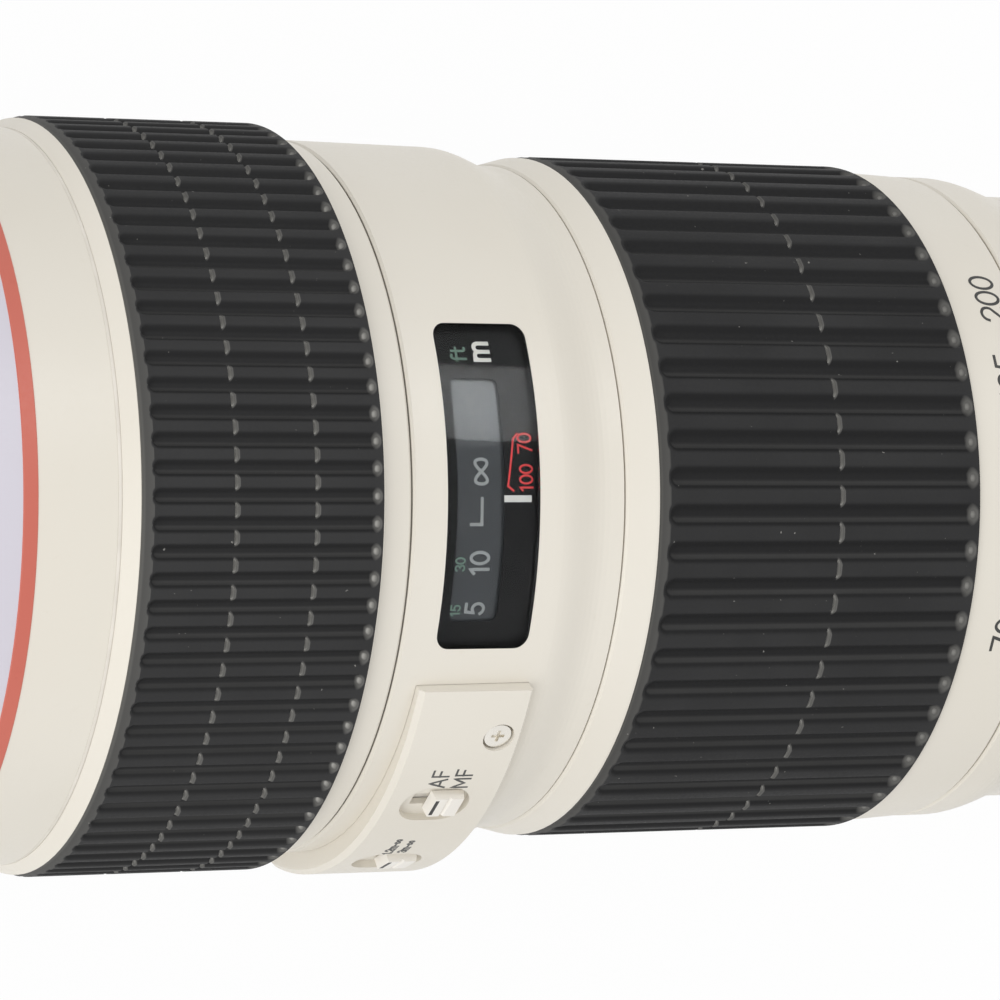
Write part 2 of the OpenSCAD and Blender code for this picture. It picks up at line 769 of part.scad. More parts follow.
// Heights of the dish's floor, of the slider's pocket and of a screw's head at an angle
function dish_z(a) = panel_top(a) - dish_depth;
function pocket_z(a) = dish_z(a) - panel_web;
function screw_top(a) = panel_top(a) - screw_sink;

// A round-ended block drawn at the top of the lens, centred on a switch
module round_block(len, width, z0, z1) {
    half = width / 2;
    translate([x_switch - len / 2 + half, -half, z0]) cube([len - width, width, z1 - z0]);
    for (x = [x_switch - len / 2 + half, x_switch + len / 2 - half])
        translate([x, 0, z0]) cylinder(h = z1 - z0, r = half);
}

module switch_panel() {
    pocket_len = slider_len + switch_travel + 2 * slide_clear;
    pocket_width = slider_width + 2 * slide_clear;
    slot_len = stem_len + switch_travel + 2 * slide_clear;
    slot_width = stem_width + 2 * slide_clear;
    color(paint)
        difference() {
            panel_plate();
            for (a = [mode_switch_angle, range_switch_angle])
                at_angle(a) {
                    round_block(dish_len, dish_width, dish_z(a), panel_r + 1);
                    translate([x_switch - slot_len / 2, -slot_width / 2, pocket_z(a) - 0.1])
                        cube([slot_len, slot_width, panel_web + 0.2]);
                    translate([x_switch - pocket_len / 2, -pocket_width / 2, panel_seat_r - 1])
                        cube([pocket_len, pocket_width, pocket_z(a) - panel_seat_r + 1]);
                }
            for (s = panel_screws_at) {
                radial_pin(x_panel_front + s[0], s[1], panel_seat_r - 1, panel_r, panel_screw_r);
                radial_pin(x_panel_front + s[0], s[1], screw_top(s[1]) - panel_head_t, panel_r + 1,
                           panel_head_r + screw_room);
            }
        }
}

// One switch, drawn at the rear end of its travel: knob, stem and the slider under the panel
module switch_knob(a) {
    x = x_switch + switch_travel / 2;
    knob_z = dish_z(a) + slide_clear;
    under_z = pocket_z(a) - slide_clear;
    top_z = panel_top(a) + knob_proud;
    ridge = 0.25;
    at_angle(a) {
        translate([x, 0, 0])
            rotate([90, 0, 0])
                translate([0, 0, -knob_width / 2])
                    linear_extrude(knob_width)
                        polygon([
                            [-knob_len / 2, knob_z], [knob_len / 2, knob_z],
                            [knob_len / 2 - ridge, top_z], [ridge, top_z], [0, top_z - ridge],
                            [-ridge, top_z], [-knob_len / 2 + ridge, top_z]
                        ]);
        translate([x - stem_len / 2, -stem_width / 2, under_z - slider_t / 2])
            cube([stem_len, stem_width, knob_z - under_z + slider_t / 2 + 0.1]);
        translate([x - slider_len / 2, -slider_width / 2, under_z - slider_t])
            cube([slider_len, slider_width, slider_t]);
    }
}

module mode_switch() {
    color(paint) switch_knob(mode_switch_angle);
}

module range_switch() {
    color(paint) switch_knob(range_switch_angle);
}

module panel_screws() {
    cross_len = panel_head_r;
    cross_w = 0.35;
    cross_depth = 0.4;
    foot_r = panel_seat_r - main_wall / 2;
    color(metal)
        for (s = panel_screws_at)
            at_angle(s[1])
                translate([x_panel_front + s[0], 0, 0])
                    difference() {
                        union() {
                            translate([0, 0, foot_r])
                                cylinder(h = screw_top(s[1]) - panel_head_t / 2 - foot_r,
                                         r = panel_screw_r - seat_clear);
                            translate([0, 0, screw_top(s[1]) - panel_head_t])
                                cylinder(h = panel_head_t, r = panel_head_r);
                        }
                        for (turn = [0, 90])
                            rotate([0, 0, turn])
                                translate([-cross_len / 2, -cross_w / 2, screw_top(s[1]) - cross_depth])
                                    cube([cross_len, cross_w, cross_depth + 1]);
                    }
}

module rear_barrel() {
    x_land = x_mount_front - rear_land_t;
    color(paint)
        difference() {
            lathe(concat(
                [[main_tube_r + seat_clear, x_rear_front], [rear_front_r - edge, x_rear_front],
                 [rear_front_r, x_rear_front + edge]],
                shoulder(x_slope_front, x_seat_front, rear_front_r, collar_r),
                [[collar_r, x_mount_front - edge], [collar_r - edge, x_mount_front],
                 [rear_land_r, x_mount_front], [rear_land_r, x_land], [rear_bore_r, x_land],
                 [rear_bore_r, x_spigot_rear], [spigot_tube_r + seat_clear, x_spigot_rear],
                 [spigot_tube_r + seat_clear, x_spigot_front], [main_tube_r + seat_clear, x_spigot_front]]
            ));
            for (a = mount_screw_angles)
                at_angle(a)
                    translate([-mount_screw_len, 0, mount_screw_pitch_r])
                        rotate([0, 90, 0]) cylinder(h = mount_screw_len, r = mount_screw_r + seat_clear);
        }
}

module lens_mount() {
    sink = mount_head_r - mount_screw_r;
    color(metal)
        difference() {
            union() {
                lathe([
                    [mount_bore_r, x_mount_front], [mount_r - edge, x_mount_front],
                    [mount_r, x_mount_front + edge],
                    [mount_r, -edge], [mount_r - edge, 0], [relief_r, 0], [relief_r, -relief_depth],
                    [spigot_r, -relief_depth], [spigot_r, spigot_len],
                    [spigot_bore_r, spigot_len], [spigot_bore_r, x_mount_front + ledge_t],
                    [mount_bore_r, x_mount_front + ledge_t]
                ]);
                for (a = [0, 120, 240])
                    ring_part(lug_gap, lug_gap + lug_t, spigot_r - 0.5, lug_r,
                              a - lug_span / 2, a + lug_span / 2);
            }
            for (a = mount_screw_angles)
                at_angle(a)
                    translate([0, 0, mount_screw_pitch_r])
                        rotate([0, 90, 0]) {
                            translate([0, 0, x_mount_front - 1])
                                cylinder(h = mount_flange_t + 2, r = mount_screw_r + 2 * seat_clear);
                            translate([0, 0, -sink - seat_clear])
                                cylinder(h = sink + seat_clear, r1 = mount_screw_r + seat_clear,
                                         r2 = mount_head_r + 2 * seat_clear);
                        }
            at_angle(lock_notch_angle)
                translate([-mount_flange_t / 2, -lock_notch_w / 2, mount_r - 2.2])
                    cube([mount_flange_t, lock_notch_w, 5]);
        }
}

module mount_screws() {
    sink = mount_head_r - mount_screw_r;
    head_top = -0.05;
    cross_w = 0.4;
    cross_depth = 0.5;
    color(metal)
        for (a = mount_screw_angles)
            at_angle(a)
                translate([0, 0, mount_screw_pitch_r])
                    rotate([0, 90, 0])
                        difference() {
                            union() {
                                translate([0, 0, head_top - sink])
                                    cylinder(h = sink, r1 = mount_screw_r, r2 = mount_head_r);
                                translate([0, 0, -mount_screw_len])
                                    cylinder(h = mount_screw_len + head_top - sink / 2, r = mount_screw_r);
                            }
                            for (turn = [0, 90])
                                rotate([0, 0, turn])
                                    translate([-mount_screw_r, -cross_w / 2, head_top - cross_depth])
                                        cube([2 * mount_screw_r, cross_w, cross_depth + 1]);
                        }
}

module rear_baffle() {
    side = contact_half_angle + 0.4;
    color(black)
        difference() {
            lathe([
                [throat_r, x_mount_front + ledge_t], [spigot_bore_r - seat_clear, x_mount_front + ledge_t],
                [spigot_bore_r - seat_clear, baffle_len - edge],
                [spigot_bore_r - seat_clear - edge, baffle_len],
                [throat_r, baffle_len]
            ]);
            ring_part(x_mount_front, baffle_len + 1, throat_r - 1, spigot_r, 180 - side, 180 + side);
        }
}

function contact_angle(i) = 180 + (i - (contact_count - 1) / 2) * contact_pitch_angle;

module contact_block() {
    color(black)
        difference() {
            ring_part(x_mount_front + ledge_t, baffle_len, throat_r, spigot_bore_r - seat_clear,
                      180 - contact_half_angle, 180 + contact_half_angle);
            for (i = [0 : contact_count - 1])
                at_angle(contact_angle(i))
                    translate([baffle_len - contact_sink, 0, contact_mid_r])
                        rotate([0, 90, 0]) cylinder(h = contact_sink + 1, r = contact_r + seat_clear);
        }
}

module contact_pins() {
    color(brass)
        for (i = [0 : contact_count - 1])
            at_angle(contact_angle(i))
                translate([baffle_len - contact_sink, 0, contact_mid_r])
                    rotate([0, 90, 0]) {
                        cylinder(h = contact_sink + contact_proud / 2, r = contact_r);
                        translate([0, 0, contact_sink + contact_proud / 2])
                            cylinder(h = contact_proud / 2, r1 = contact_r, r2 = contact_r / 2);
                    }
}

module main_board() {
    x_land = x_mount_front - rear_land_t;
    color([0.1, 0.35, 0.2])
        difference() {
            ring_part(x_land - board_t, x_land, rear_bore_r - board_width, rear_bore_r - seat_clear, 95, 330);
            for (a = mount_screw_angles)
                at_angle(a)
                    translate([x_land - board_t - 1, 0, mount_screw_pitch_r])
                        rotate([0, 90, 0]) cylinder(h = board_t + 2, r = mount_screw_r + free_gap);
        }
}

module front_cell() {
    seat_r = front_glass_r + seat_clear;
    rib_r = front_glass_r - 1.5;
    x_rib = x_front_rib;
    rib_t = front_rib_t;
    color(black)
        lathe([
            [seat_r, x_cell_front], [front_tube_r, x_cell_front], [front_tube_r, x_tube_front],
            [front_tube_bore_r - seat_clear, x_tube_front],
            [front_tube_bore_r - seat_clear, x_cell_front + front_cell_len],
            [seat_r, x_cell_front + front_cell_len], [seat_r, x_rib + rib_t], [rib_r, x_rib + rib_t],
            [rib_r, x_rib], [seat_r, x_rib]
        ]);
}

module front_element() {
    r = front_glass_r;
    color(glass)
        element(x_front_element, x_front_element + front_element_t, r, r - glass_bevel, 3.7 * r, 6 * r);
}

module front_doublet() {
    r = front_glass_r;
    color(glass)
        element(x_front_doublet, x_front_doublet + front_doublet_t, r, r - glass_bevel, -6.6 * r, 4.7 * r);
}

module front_retainer() {
    glass_r = front_glass_r;
    spanner_w = 1.2;
    spanner_depth = 0.8;
    color(black)
        difference() {
            lathe([
                [glass_r - 1.6, x_cell_front], [glass_r, x_cell_front], [glass_r, x_front_element],
                [glass_r - 1.6, x_front_element]
            ]);
            for (a = [90, 270])
                at_angle(a)
                    translate([x_cell_front - 1, -spanner_w / 2, glass_r - 2])
                        cube([1 + spanner_depth, spanner_w, 3]);
        }
}

module focus_guide() {
    x_rear = x_main_front + 4.6;
    color(metal)
        difference() {
            lathe([
                [focus_guide_r - focus_guide_wall, x_guide_ledge - guide_flange_t],
                [front_tube_bore_r - seat_clear, x_guide_ledge - guide_flange_t],
                [front_tube_bore_r - seat_clear, x_guide_ledge],
                [focus_guide_r, x_guide_ledge], [focus_guide_r, x_rear],
                [focus_guide_r - focus_guide_wall, x_rear]
            ]);
            for (a = focus_angles)
                straight_slot(x_focus_pin - focus_travel, x_focus_pin, a,
                              focus_guide_r - focus_guide_wall - 1,
                              focus_guide_r + 1, slot_half);
        }
}

module focus_cam() {
    x_cam_front = x_guide_ledge + ring_gap;
    cam_in = focus_cam_r - focus_cam_wall;
    keyway = key_width + 2 * seat_clear;
    color(brass)
        difference() {
            ring(x_cam_front, x_focus_cam_rear, cam_in, focus_cam_r);
            for (a = focus_angles)
                cam_slot(x_focus_pin - focus_travel, x_focus_pin, a - drive_turn, a,
                         cam_in, focus_cam_r, slot_half);
            at_angle(key_angle)
                translate([x_key_front - seat_clear, -keyway / 2, cam_in - 1])
                    cube([x_focus_cam_rear - x_key_front + 1, keyway, focus_cam_wall + 2]);
        }
}

// A lens cell with three follower pins round it and a seat for its glass
module follower_cell(x_pin, len, r, pin_reach, angles, seat_r, seat_len) {
    x0 = x_pin - len / 2;
    x1 = x_pin + len / 2;
    stop_r = seat_r - 1.5;
    color(black)
        difference() {
            ring(x0, x1, stop_r, r);
            ring(x0 - 1, x0 + seat_len, 0, seat_r + seat_clear);
        }
    color(brass)
        for (a = angles)
            radial_pin(x_pin, a, r - 1, pin_reach, follower_r);
}

module focus_cell() {
    follower_cell(x_focus_pin, focus_cell_len, focus_cell_r, focus_cam_r - 0.1,
                  focus_angles, focus_seat_r, focus_seat_at);
}

module focus_lens() {
    r = focus_seat_r;
    x1 = x_focus_pin - focus_cell_len / 2 + focus_seat_at;
    color(glass) element(x1 - focus_lens_t, x1, r, r - glass_bevel, 5.6 * r, -3.6 * r);
}

module zoom_guide() {
    bore = zoom_guide_r - zoom_guide_wall;
    v0 = x_variator_pin - variator_travel * zoom_wide_turn / zoom_turn;
    v1 = x_variator_pin + variator_travel * zoom_tele_turn / zoom_turn;
    c0 = x_compensator_pin - compensator_travel * zoom_tele_turn / zoom_turn;
    c1 = x_compensator_pin + compensator_travel * zoom_wide_turn / zoom_turn;
    color(metal)
        difference() {
            lathe([
                [bore, x_zoom_guide_front], [zoom_guide_r, x_zoom_guide_front], [zoom_guide_r, x_shelf],
                [main_bore_r - seat_clear, x_shelf], [main_bore_r - seat_clear, x_iris], [bore, x_iris]
            ]);
            for (a = variator_angles)
                straight_slot(v0, v1, a, bore - 1, zoom_guide_r + 1, slot_half);
            for (a = compensator_angles)
                straight_slot(c0, c1, a, bore - 1, zoom_guide_r + 1, slot_half);
        }
}

module cam_tube() {
    cam_in = cam_tube_r - cam_tube_wall;
    keyway = zoom_key_width + 2 * seat_clear;
    v0 = x_variator_pin - variator_travel * zoom_wide_turn / zoom_turn;
    v1 = x_variator_pin + variator_travel * zoom_tele_turn / zoom_turn;
    c0 = x_compensator_pin - compensator_travel * zoom_tele_turn / zoom_turn;
    c1 = x_compensator_pin + compensator_travel * zoom_wide_turn / zoom_turn;
    color(brass)
        difference() {
            ring(x_zoom_guide_front, x_cam_rear, cam_in, cam_tube_r);
            for (a = variator_angles)
                cam_slot(v0, v1, a - zoom_wide_turn, a + zoom_tele_turn, cam_in, cam_tube_r, slot_half);
            for (a = compensator_angles)
                cam_slot(c0, c1, a + zoom_tele_turn, a - zoom_wide_turn, cam_in, cam_tube_r, slot_half);
            at_angle(zoom_key_angle)
                translate([x_cam_rear - zoom_key_len - seat_clear, -keyway / 2, cam_in - 1])
                    cube([zoom_key_len + 1, keyway, cam_tube_wall + 2]);
        }
}

module variator_cell() {
    follower_cell(x_variator_pin, variator_len, zoom_cell_r, cam_tube_r - 0.1,
                  variator_angles, zoom_seat_r, variator_seat_at);
}

module variator_lens() {
    r = zoom_seat_r;
    x1 = x_variator_pin - variator_len / 2 + variator_seat_at;
    color(glass) element(x1 - variator_lens_t, x1, r, r - glass_bevel, -4.4 * r, -3.7 * r);
}

module compensator_cell() {
    follower_cell(x_compensator_pin, compensator_len, zoom_cell_r, cam_tube_r - 0.1,
                  compensator_angles, zoom_seat_r, compensator_seat_at);
}

module compensator_lens() {
    r = zoom_seat_r;
    x1 = x_compensator_pin - compensator_len / 2 + compensator_seat_at;
    color(glass) element(x1 - compensator_lens_t, x1, r, r - glass_bevel, 5.5 * r, 3.7 * r);
}

module motor_rotor() {
    color(metal) ring(x_rotor_face, x_rotor_rear, motor_seat_r + seat_clear, motor_r);
}

module motor_stator() {
    comb = stator_t - stator_tooth_h;
    comb_r = motor_r - 0.1;
    slot_depth = comb_r - motor_seat_r - 0.5;
    color(brass) {
        ring(x_stator_rear - comb, x_stator_rear, motor_seat_r + seat_clear, motor_r);
        difference() {
            translate([x_rotor_rear, 0, 0])
                facing()
                    linear_extrude(stator_tooth_h)
                        polygon(rib_outline(stator_teeth, comb_r, slot_depth));
            ring(x_rotor_rear - 1, x_stator_rear - comb + 1, 0, motor_seat_r + seat_clear);
        }
    }
}

module drive_ring() {
    color(metal) {
        lathe([
            [drive_in_r, x_drive_front], [drum_r, x_drive_front], [drum_r, x_drum_front],
            [drum_bore_r - seat_clear, x_drum_front], [drum_bore_r - seat_clear, x_drive_front + drive_len],
            [drive_in_r, x_drive_front + drive_len]
        ]);
        for (a = roller_angles)
            radial_pin(x_roller, a, roller_in_r, drive_in_r + 0.2, roller_shaft_r);
    }
}

module roller(i) {
    a = roller_angles[i];
    color(brass)
        difference() {
            radial_pin(x_roller, a, roller_in_r, roller_out_r, roller_r);
            radial_pin(x_roller, a, roller_in_r - 1, roller_out_r + 1, roller_shaft_r + roller_gap);
        }
}

module roller_1() {
    roller(0);
}

module roller_2() {
    roller(1);
}

module roller_3() {
    roller(2);
}

module focus_key() {
    color(metal)
        at_angle(key_angle)
            translate([x_key_front, -key_width / 2, focus_cam_r - focus_cam_wall + 0.1])
                cube([x_key_rear - x_key_front, key_width, drive_in_r - focus_cam_r + focus_cam_wall - 0.2]);
}

module scale_drum() {
    color(black) ring(x_drum_front, x_drum_rear, drum_bore_r, drum_r);
}

module focus_sleeve() {
    hub_in_r = motor_seat_r + 0.4;
    hub_out_r = drum_r - 0.2;
    lip_top = focus_r - edge;
    edge_r = main_front_r + 0.35;
    x_hub_front = x_hub_face - hub_t;
    color(paint)
        lathe([
            [focus_bore_r, x_focus_front], [front_r, x_focus_front], [lip_top, x_focus_grip_front],
            [focus_sleeve_r, x_focus_grip_front], [focus_sleeve_r, x_focus_grip_rear],
            [edge_r + edge, x_focus_grip_rear], [edge_r, x_focus_grip_rear + 2 * edge],
            [main_front_r, x_focus_rear - edge], [main_front_r - edge, x_focus_rear],
            [hub_out_r, x_focus_rear], [hub_out_r, x_hub_face], [hub_in_r, x_hub_face],
            [hub_in_r, x_hub_front], [focus_bore_r, x_hub_front]
        ]);
}

module focus_grip() {
    color(rubber)
        ribbed_grip(x_focus_grip_front, x_focus_grip_rear, focus_sleeve_r, focus_r, focus_rib_depth,
                    focus_rib_count);
}

module zoom_sleeve() {
    lip_top = zoom_r - edge / 2;
    color(paint)
        lathe([
            [zoom_bore_r, x_zoom_front], [zoom_lip_r - edge, x_zoom_front], [zoom_lip_r, x_zoom_front + edge],
            [lip_top, x_zoom_grip_front - edge], [lip_top, x_zoom_grip_front],
            [zoom_sleeve_r, x_zoom_grip_front], [zoom_sleeve_r, x_zoom_grip_rear],
            [number_front_r, x_zoom_grip_rear], [number_rear_r, x_zoom_rear - edge],
            [number_rear_r - edge, x_zoom_rear], [zoom_bore_r, x_zoom_rear]
        ]);
}

module zoom_grip() {
    color(rubber)
        ribbed_grip(x_zoom_grip_front, x_zoom_grip_rear, zoom_sleeve_r, zoom_r, zoom_rib_depth,
                    zoom_rib_count);
}

module zoom_key() {
    foot_r = cam_tube_r - cam_tube_wall + 0.1;
    color(metal)
        at_angle(zoom_key_angle)
            translate([x_cam_rear - zoom_key_len, -zoom_key_width / 2, foot_r])
                cube([zoom_key_len, zoom_key_width, zoom_bore_r - foot_r - 0.1]);
}

module iris_housing() {
    color(black)
        difference() {
            lathe([
                [iris_open_r, x_iris], [iris_r, x_iris], [iris_r, x_iris_rear],
                [iris_r - iris_wall, x_iris_rear], [iris_r - iris_wall, x_iris + iris_plate_t],
                [iris_open_r, x_iris + iris_plate_t]
            ]);
            for (i = [0 : blade_count - 1])
                facing()
                    rotate([0, 0, i * 360 / blade_count])
                        translate([blade_pivot_r, 0, x_iris - 1])
                            cylinder(h = iris_plate_t + 2, r = blade_pin_r + run_clear);
        }
}

// Offset from a blade's pivot to its drive pin, with the pivot on the local x axis
function drive_pin_offset() = blade_pivot_r * [cos(blade_pin_angle) - 1, sin(blade_pin_angle)];

// The ring that swings the blades. Each slot is the path of a drive pin as seen from the ring:
// the ring and the blade turn alike, so the path is an arc about the pin's offset from its pivot.
module iris_ring() {
    half = blade_pin_r + pin_clear;
    off = drive_pin_offset();
    z0 = x_iris_ring - 1;
    h = iris_ring_t + 2;
    color(metal)
        difference() {
            ring(x_iris_ring, x_iris_ring + iris_ring_t, iris_open_r + 1.2, iris_ring_r);
            for (i = [0 : blade_count - 1])
                facing()
                    rotate([0, 0, i * 360 / blade_count])
                        translate([off[0], off[1], z0]) {
                            rotate([0, 0, -iris_turn])
                                rotate_extrude(angle = iris_turn)
                                    translate([blade_pivot_r - half, 0]) square([2 * half, h]);
                            for (a = [-iris_turn, 0])
                                rotate([0, 0, a])
                                    translate([blade_pivot_r, 0, 0])
                                        cylinder(h = h, r = half + 0.05);
                        }
        }
}

// One iris blade in its own plane, with a pivot pin forwards and a drive pin rearwards
module blade(i) {
    z = x_blades + i * blade_pitch;
    tab_span = blade_pin_angle + 6;
    off = drive_pin_offset();
    pin_end = x_iris_ring + iris_ring_t - 0.1;
    pivot_end = x_iris + 0.2;
    color([0.15, 0.15, 0.16])
        facing()
            rotate([0, 0, i * 360 / blade_count]) {
                translate([0, 0, z]) {
                    rotate_extrude(angle = blade_span)
                        translate([blade_in_r, 0]) square([blade_out_r - blade_in_r, blade_t]);
                    rotate([0, 0, -3])
                        rotate_extrude(angle = tab_span)
                            translate([blade_in_r, 0]) square([blade_pivot_r + 1.1 - blade_in_r, blade_t]);
                }
                translate([blade_pivot_r, 0, pivot_end])
                    cylinder(h = z + blade_t - pivot_end, r = blade_pin_r);
                translate([blade_pivot_r + off[0], off[1], z]) cylinder(h = pin_end - z, r = blade_pin_r);
            }
}

module blade_1() {
    blade(0);
}

module blade_2() {
    blade(1);
}

module blade_3() {
    blade(2);
}

module blade_4() {
    blade(3);
}

module blade_5() {
    blade(4);
}

module blade_6() {
    blade(5);
}

module blade_7() {
    blade(6);
}

module blade_8() {
    blade(7);
}

module relay_cell() {
    color(black)
        lathe([
            [relay_front_bore, x_iris_rear], [iris_r, x_iris_rear], [iris_r, x_iris_rear + relay_flange_t],
            [relay_r, x_iris_rear + relay_flange_t], [relay_r, x_relay_rear], [relay_rear_bore, x_relay_rear],
            [relay_rear_bore, x_relay_rear_step], [relay_mid_bore, x_relay_rear_step],
            [relay_mid_bore, x_relay_step], [relay_front_bore, x_relay_step]
        ]);
}

module relay_doublet() {
    r = relay_front_bore - seat_clear;
    color(glass)
        element(x_relay_step - relay_doublet_t, x_relay_step, r, relay_mid_bore - 0.3, 4.2 * r, 3.2 * r);
}

module rear_element() {
    r = relay_rear_bore - seat_clear;
    color(glass)
        element(x_relay_rear_step, x_relay_rear_step + rear_element_t, r, relay_mid_bore - 0.3,
                -5 * r, 3.9 * r);
}

front_tube();
main_tube();
filter_ring();
name_ring();
accent_ring();
front_barrel();
main_barrel();
window_pane();
switch_panel();
panel_screws();
rear_barrel();
lens_mount();
mount_screws();
rear_baffle();
contact_block();
contact_pins();
main_board();
front_cell();
front_element();
front_doublet();
front_retainer();
focus_guide();
zoom_guide();
motor_rotor();
motor_stator();
iris_housing();
relay_cell();
relay_doublet();
rear_element();
focus_sleeve();
focus_grip();
drive_ring();
focus_key();
focus_cam();
scale_drum();
roller_1();
roller_2();
roller_3();
focus_cell();
focus_lens();
zoom_sleeve();
zoom_grip();
zoom_key();
cam_tube();
variator_cell();
variator_lens();
compensator_cell();
compensator_lens();
mode_switch();
range_switch();
iris_ring();
blade_1();
blade_2();
blade_3();
blade_4();
blade_5();
blade_6();
blade_7();
blade_8();
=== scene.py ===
import json
import math

import bmesh
import bpy
import numpy as np
from mathutils import Matrix, Vector


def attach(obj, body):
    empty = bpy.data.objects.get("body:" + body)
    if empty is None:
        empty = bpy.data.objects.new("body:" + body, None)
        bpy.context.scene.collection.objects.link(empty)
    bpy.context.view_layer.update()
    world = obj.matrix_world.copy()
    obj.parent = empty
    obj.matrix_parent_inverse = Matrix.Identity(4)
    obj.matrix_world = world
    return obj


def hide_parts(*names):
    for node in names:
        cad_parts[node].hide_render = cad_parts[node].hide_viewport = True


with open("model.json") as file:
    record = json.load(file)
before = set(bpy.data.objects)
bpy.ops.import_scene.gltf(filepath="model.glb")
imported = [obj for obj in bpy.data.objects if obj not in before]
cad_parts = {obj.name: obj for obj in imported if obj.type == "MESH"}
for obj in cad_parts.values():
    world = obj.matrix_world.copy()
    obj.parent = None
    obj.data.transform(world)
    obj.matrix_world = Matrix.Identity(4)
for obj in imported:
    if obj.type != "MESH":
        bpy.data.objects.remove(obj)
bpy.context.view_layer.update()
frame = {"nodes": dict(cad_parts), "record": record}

MM = 0.001

# Camera: it looks down on the barrel from the front, turned towards the rear
VIEW_TURN = math.radians(25.1)
VIEW_PLACE = (-0.3102, 0.0, 0.4755)
VIEW_LENS = 180.85
VIEW_SHIFT_UP = -0.0038

# Stations along the optical axis in mm, with the bayonet flange at zero and the front at minus X
FOCUS_GRIP = (-142.0, -117.25)
FOCUS_GRIP_R = 38.0
FOCUS_GRIP_BORE_R = 36.52
FOCUS_RIBS = 90
FOCUS_RIB_TURN = 0.0
FOCUS_SPLITS = (-132.5, -124.3)
ZOOM_GRIP = (-86.65, -50.2)
ZOOM_GRIP_R = 35.45
ZOOM_GRIP_BORE_R = 34.22
ZOOM_RIBS = 60
ZOOM_RIB_TURN = 3.0
ZOOM_SPLITS = (-66.25,)
RIB_DEPTH = 0.7
NUMBER_BAND = (-50.2, -41.9)
NUMBER_BAND_R = (35.0, 34.55)
REAR_BAND_R = 34.55
WINDOW_X = (-110.0, -100.05)
WINDOW_TURN = (-24.2, 27.7)
WINDOW_CORNER = 1.4
SLOT_X = (-108.5, -103.45)
SLOT_TURN = (-20.2, 18.9)
BARREL_R = 36.15
PANE_STEP_R = 35.6
PANE_BOTTOM_R = 35.15
MASK_R = PANE_BOTTOM_R - 0.03
MASK_BOTTOM_R = PANE_BOTTOM_R - 0.12
DRUM_R = 34.75
PANEL_CURVE_R = 36.95
PANEL_SHIFT = 1.8
PANEL_LOW_TURN = -98.0
KNOB_PROUD = 0.4
KNOB_FRONT_X = -105.55
KNOB_LINE_HALF = 1.0
REAR_SEAT_R = 32.7
FILTER_THREAD_R = 33.1
FILTER_FRONT_X = -172.0
FILTER_THREAD_LEN = 5.5
FLOOR_Z = -0.0381
FLOOR_HALF = 4
FLOOR_GLOW = 0.97


def make_camera():
    data = bpy.data.cameras.new("viewpoint")
    data.sensor_width = 36
    data.lens = VIEW_LENS
    data.shift_y = VIEW_SHIFT_UP
    data.clip_start = 0.01
    data.clip_end = 30
    camera = bpy.data.objects.new("viewpoint", data)
    bpy.context.scene.collection.objects.link(camera)
    c, s = math.cos(VIEW_TURN), math.sin(VIEW_TURN)
    turn = Matrix(((c, 0, -s), (0, 1, 0), (s, 0, c))).to_4x4()
    camera.matrix_world = Matrix.Translation(VIEW_PLACE) @ turn
    bpy.context.scene.camera = camera


make_camera()


# Node groups shared by the finishes


def new_group(name, inputs, outputs):
    tree = bpy.data.node_groups.new(name, "ShaderNodeTree")
    for label, kind, value in inputs:
        socket = tree.interface.new_socket(label, in_out="INPUT", socket_type=kind)
        socket.default_value = value
    for label, kind in outputs:
        tree.interface.new_socket(label, in_out="OUTPUT", socket_type=kind)
    return tree, tree.nodes.new("NodeGroupInput").outputs, tree.nodes.new("NodeGroupOutput").inputs


def add(tree, kind, **settings):
    node = tree.nodes.new(kind)
    for key, value in settings.items():
        setattr(node, key, value)
    return node


def feed(tree, target, source):
    if isinstance(source, (int, float, tuple)):
        target.default_value = source
    else:
        tree.links.new(source, target)


def noise(tree, vector, scale, detail=2.0, roughness=0.5):
    node = add(tree, "ShaderNodeTexNoise")
    feed(tree, node.inputs["Vector"], vector)
    feed(tree, node.inputs["Scale"], scale)
    node.inputs["Detail"].default_value = detail
    node.inputs["Roughness"].default_value = roughness
    return node.outputs["Fac"]


def spread(tree, value, low, high, to_low=0.0, to_high=1.0):
    node = add(tree, "ShaderNodeMapRange")
    for label, source in zip(
        ("Value", "From Min", "From Max", "To Min", "To Max"), (value, low, high, to_low, to_high)
    ):
        feed(tree, node.inputs[label], source)
    return node.outputs["Result"]


def sum_of(tree, first, second, operation="ADD"):
    node = add(tree, "ShaderNodeMath", operation=operation)
    feed(tree, node.inputs[0], first)
    feed(tree, node.inputs[1], second)
    return node.outputs[0]


def blend_colours(tree, amount, first, second):
    node = add(tree, "ShaderNodeMix", data_type="RGBA")
    feed(tree, node.inputs["Factor"], amount)
    feed(tree, node.inputs[6], first)
    feed(tree, node.inputs[7], second)
    return node.outputs[2]


def own_place(tree):
    return add(tree, "ShaderNodeTexCoord").outputs["Object"]


def axis_radius(tree, place):
    """Distance from the optical axis, in metres, and the station along it."""
    parts = add(tree, "ShaderNodeSeparateXYZ")
    feed(tree, parts.inputs[0], place)
    square_y = sum_of(tree, parts.outputs["Y"], parts.outputs["Y"], "MULTIPLY")
    square_z = sum_of(tree, parts.outputs["Z"], parts.outputs["Z"], "MULTIPLY")
    radius = sum_of(tree, sum_of(tree, square_y, square_z), 0.5, "POWER")
    return radius, parts.outputs["X"]


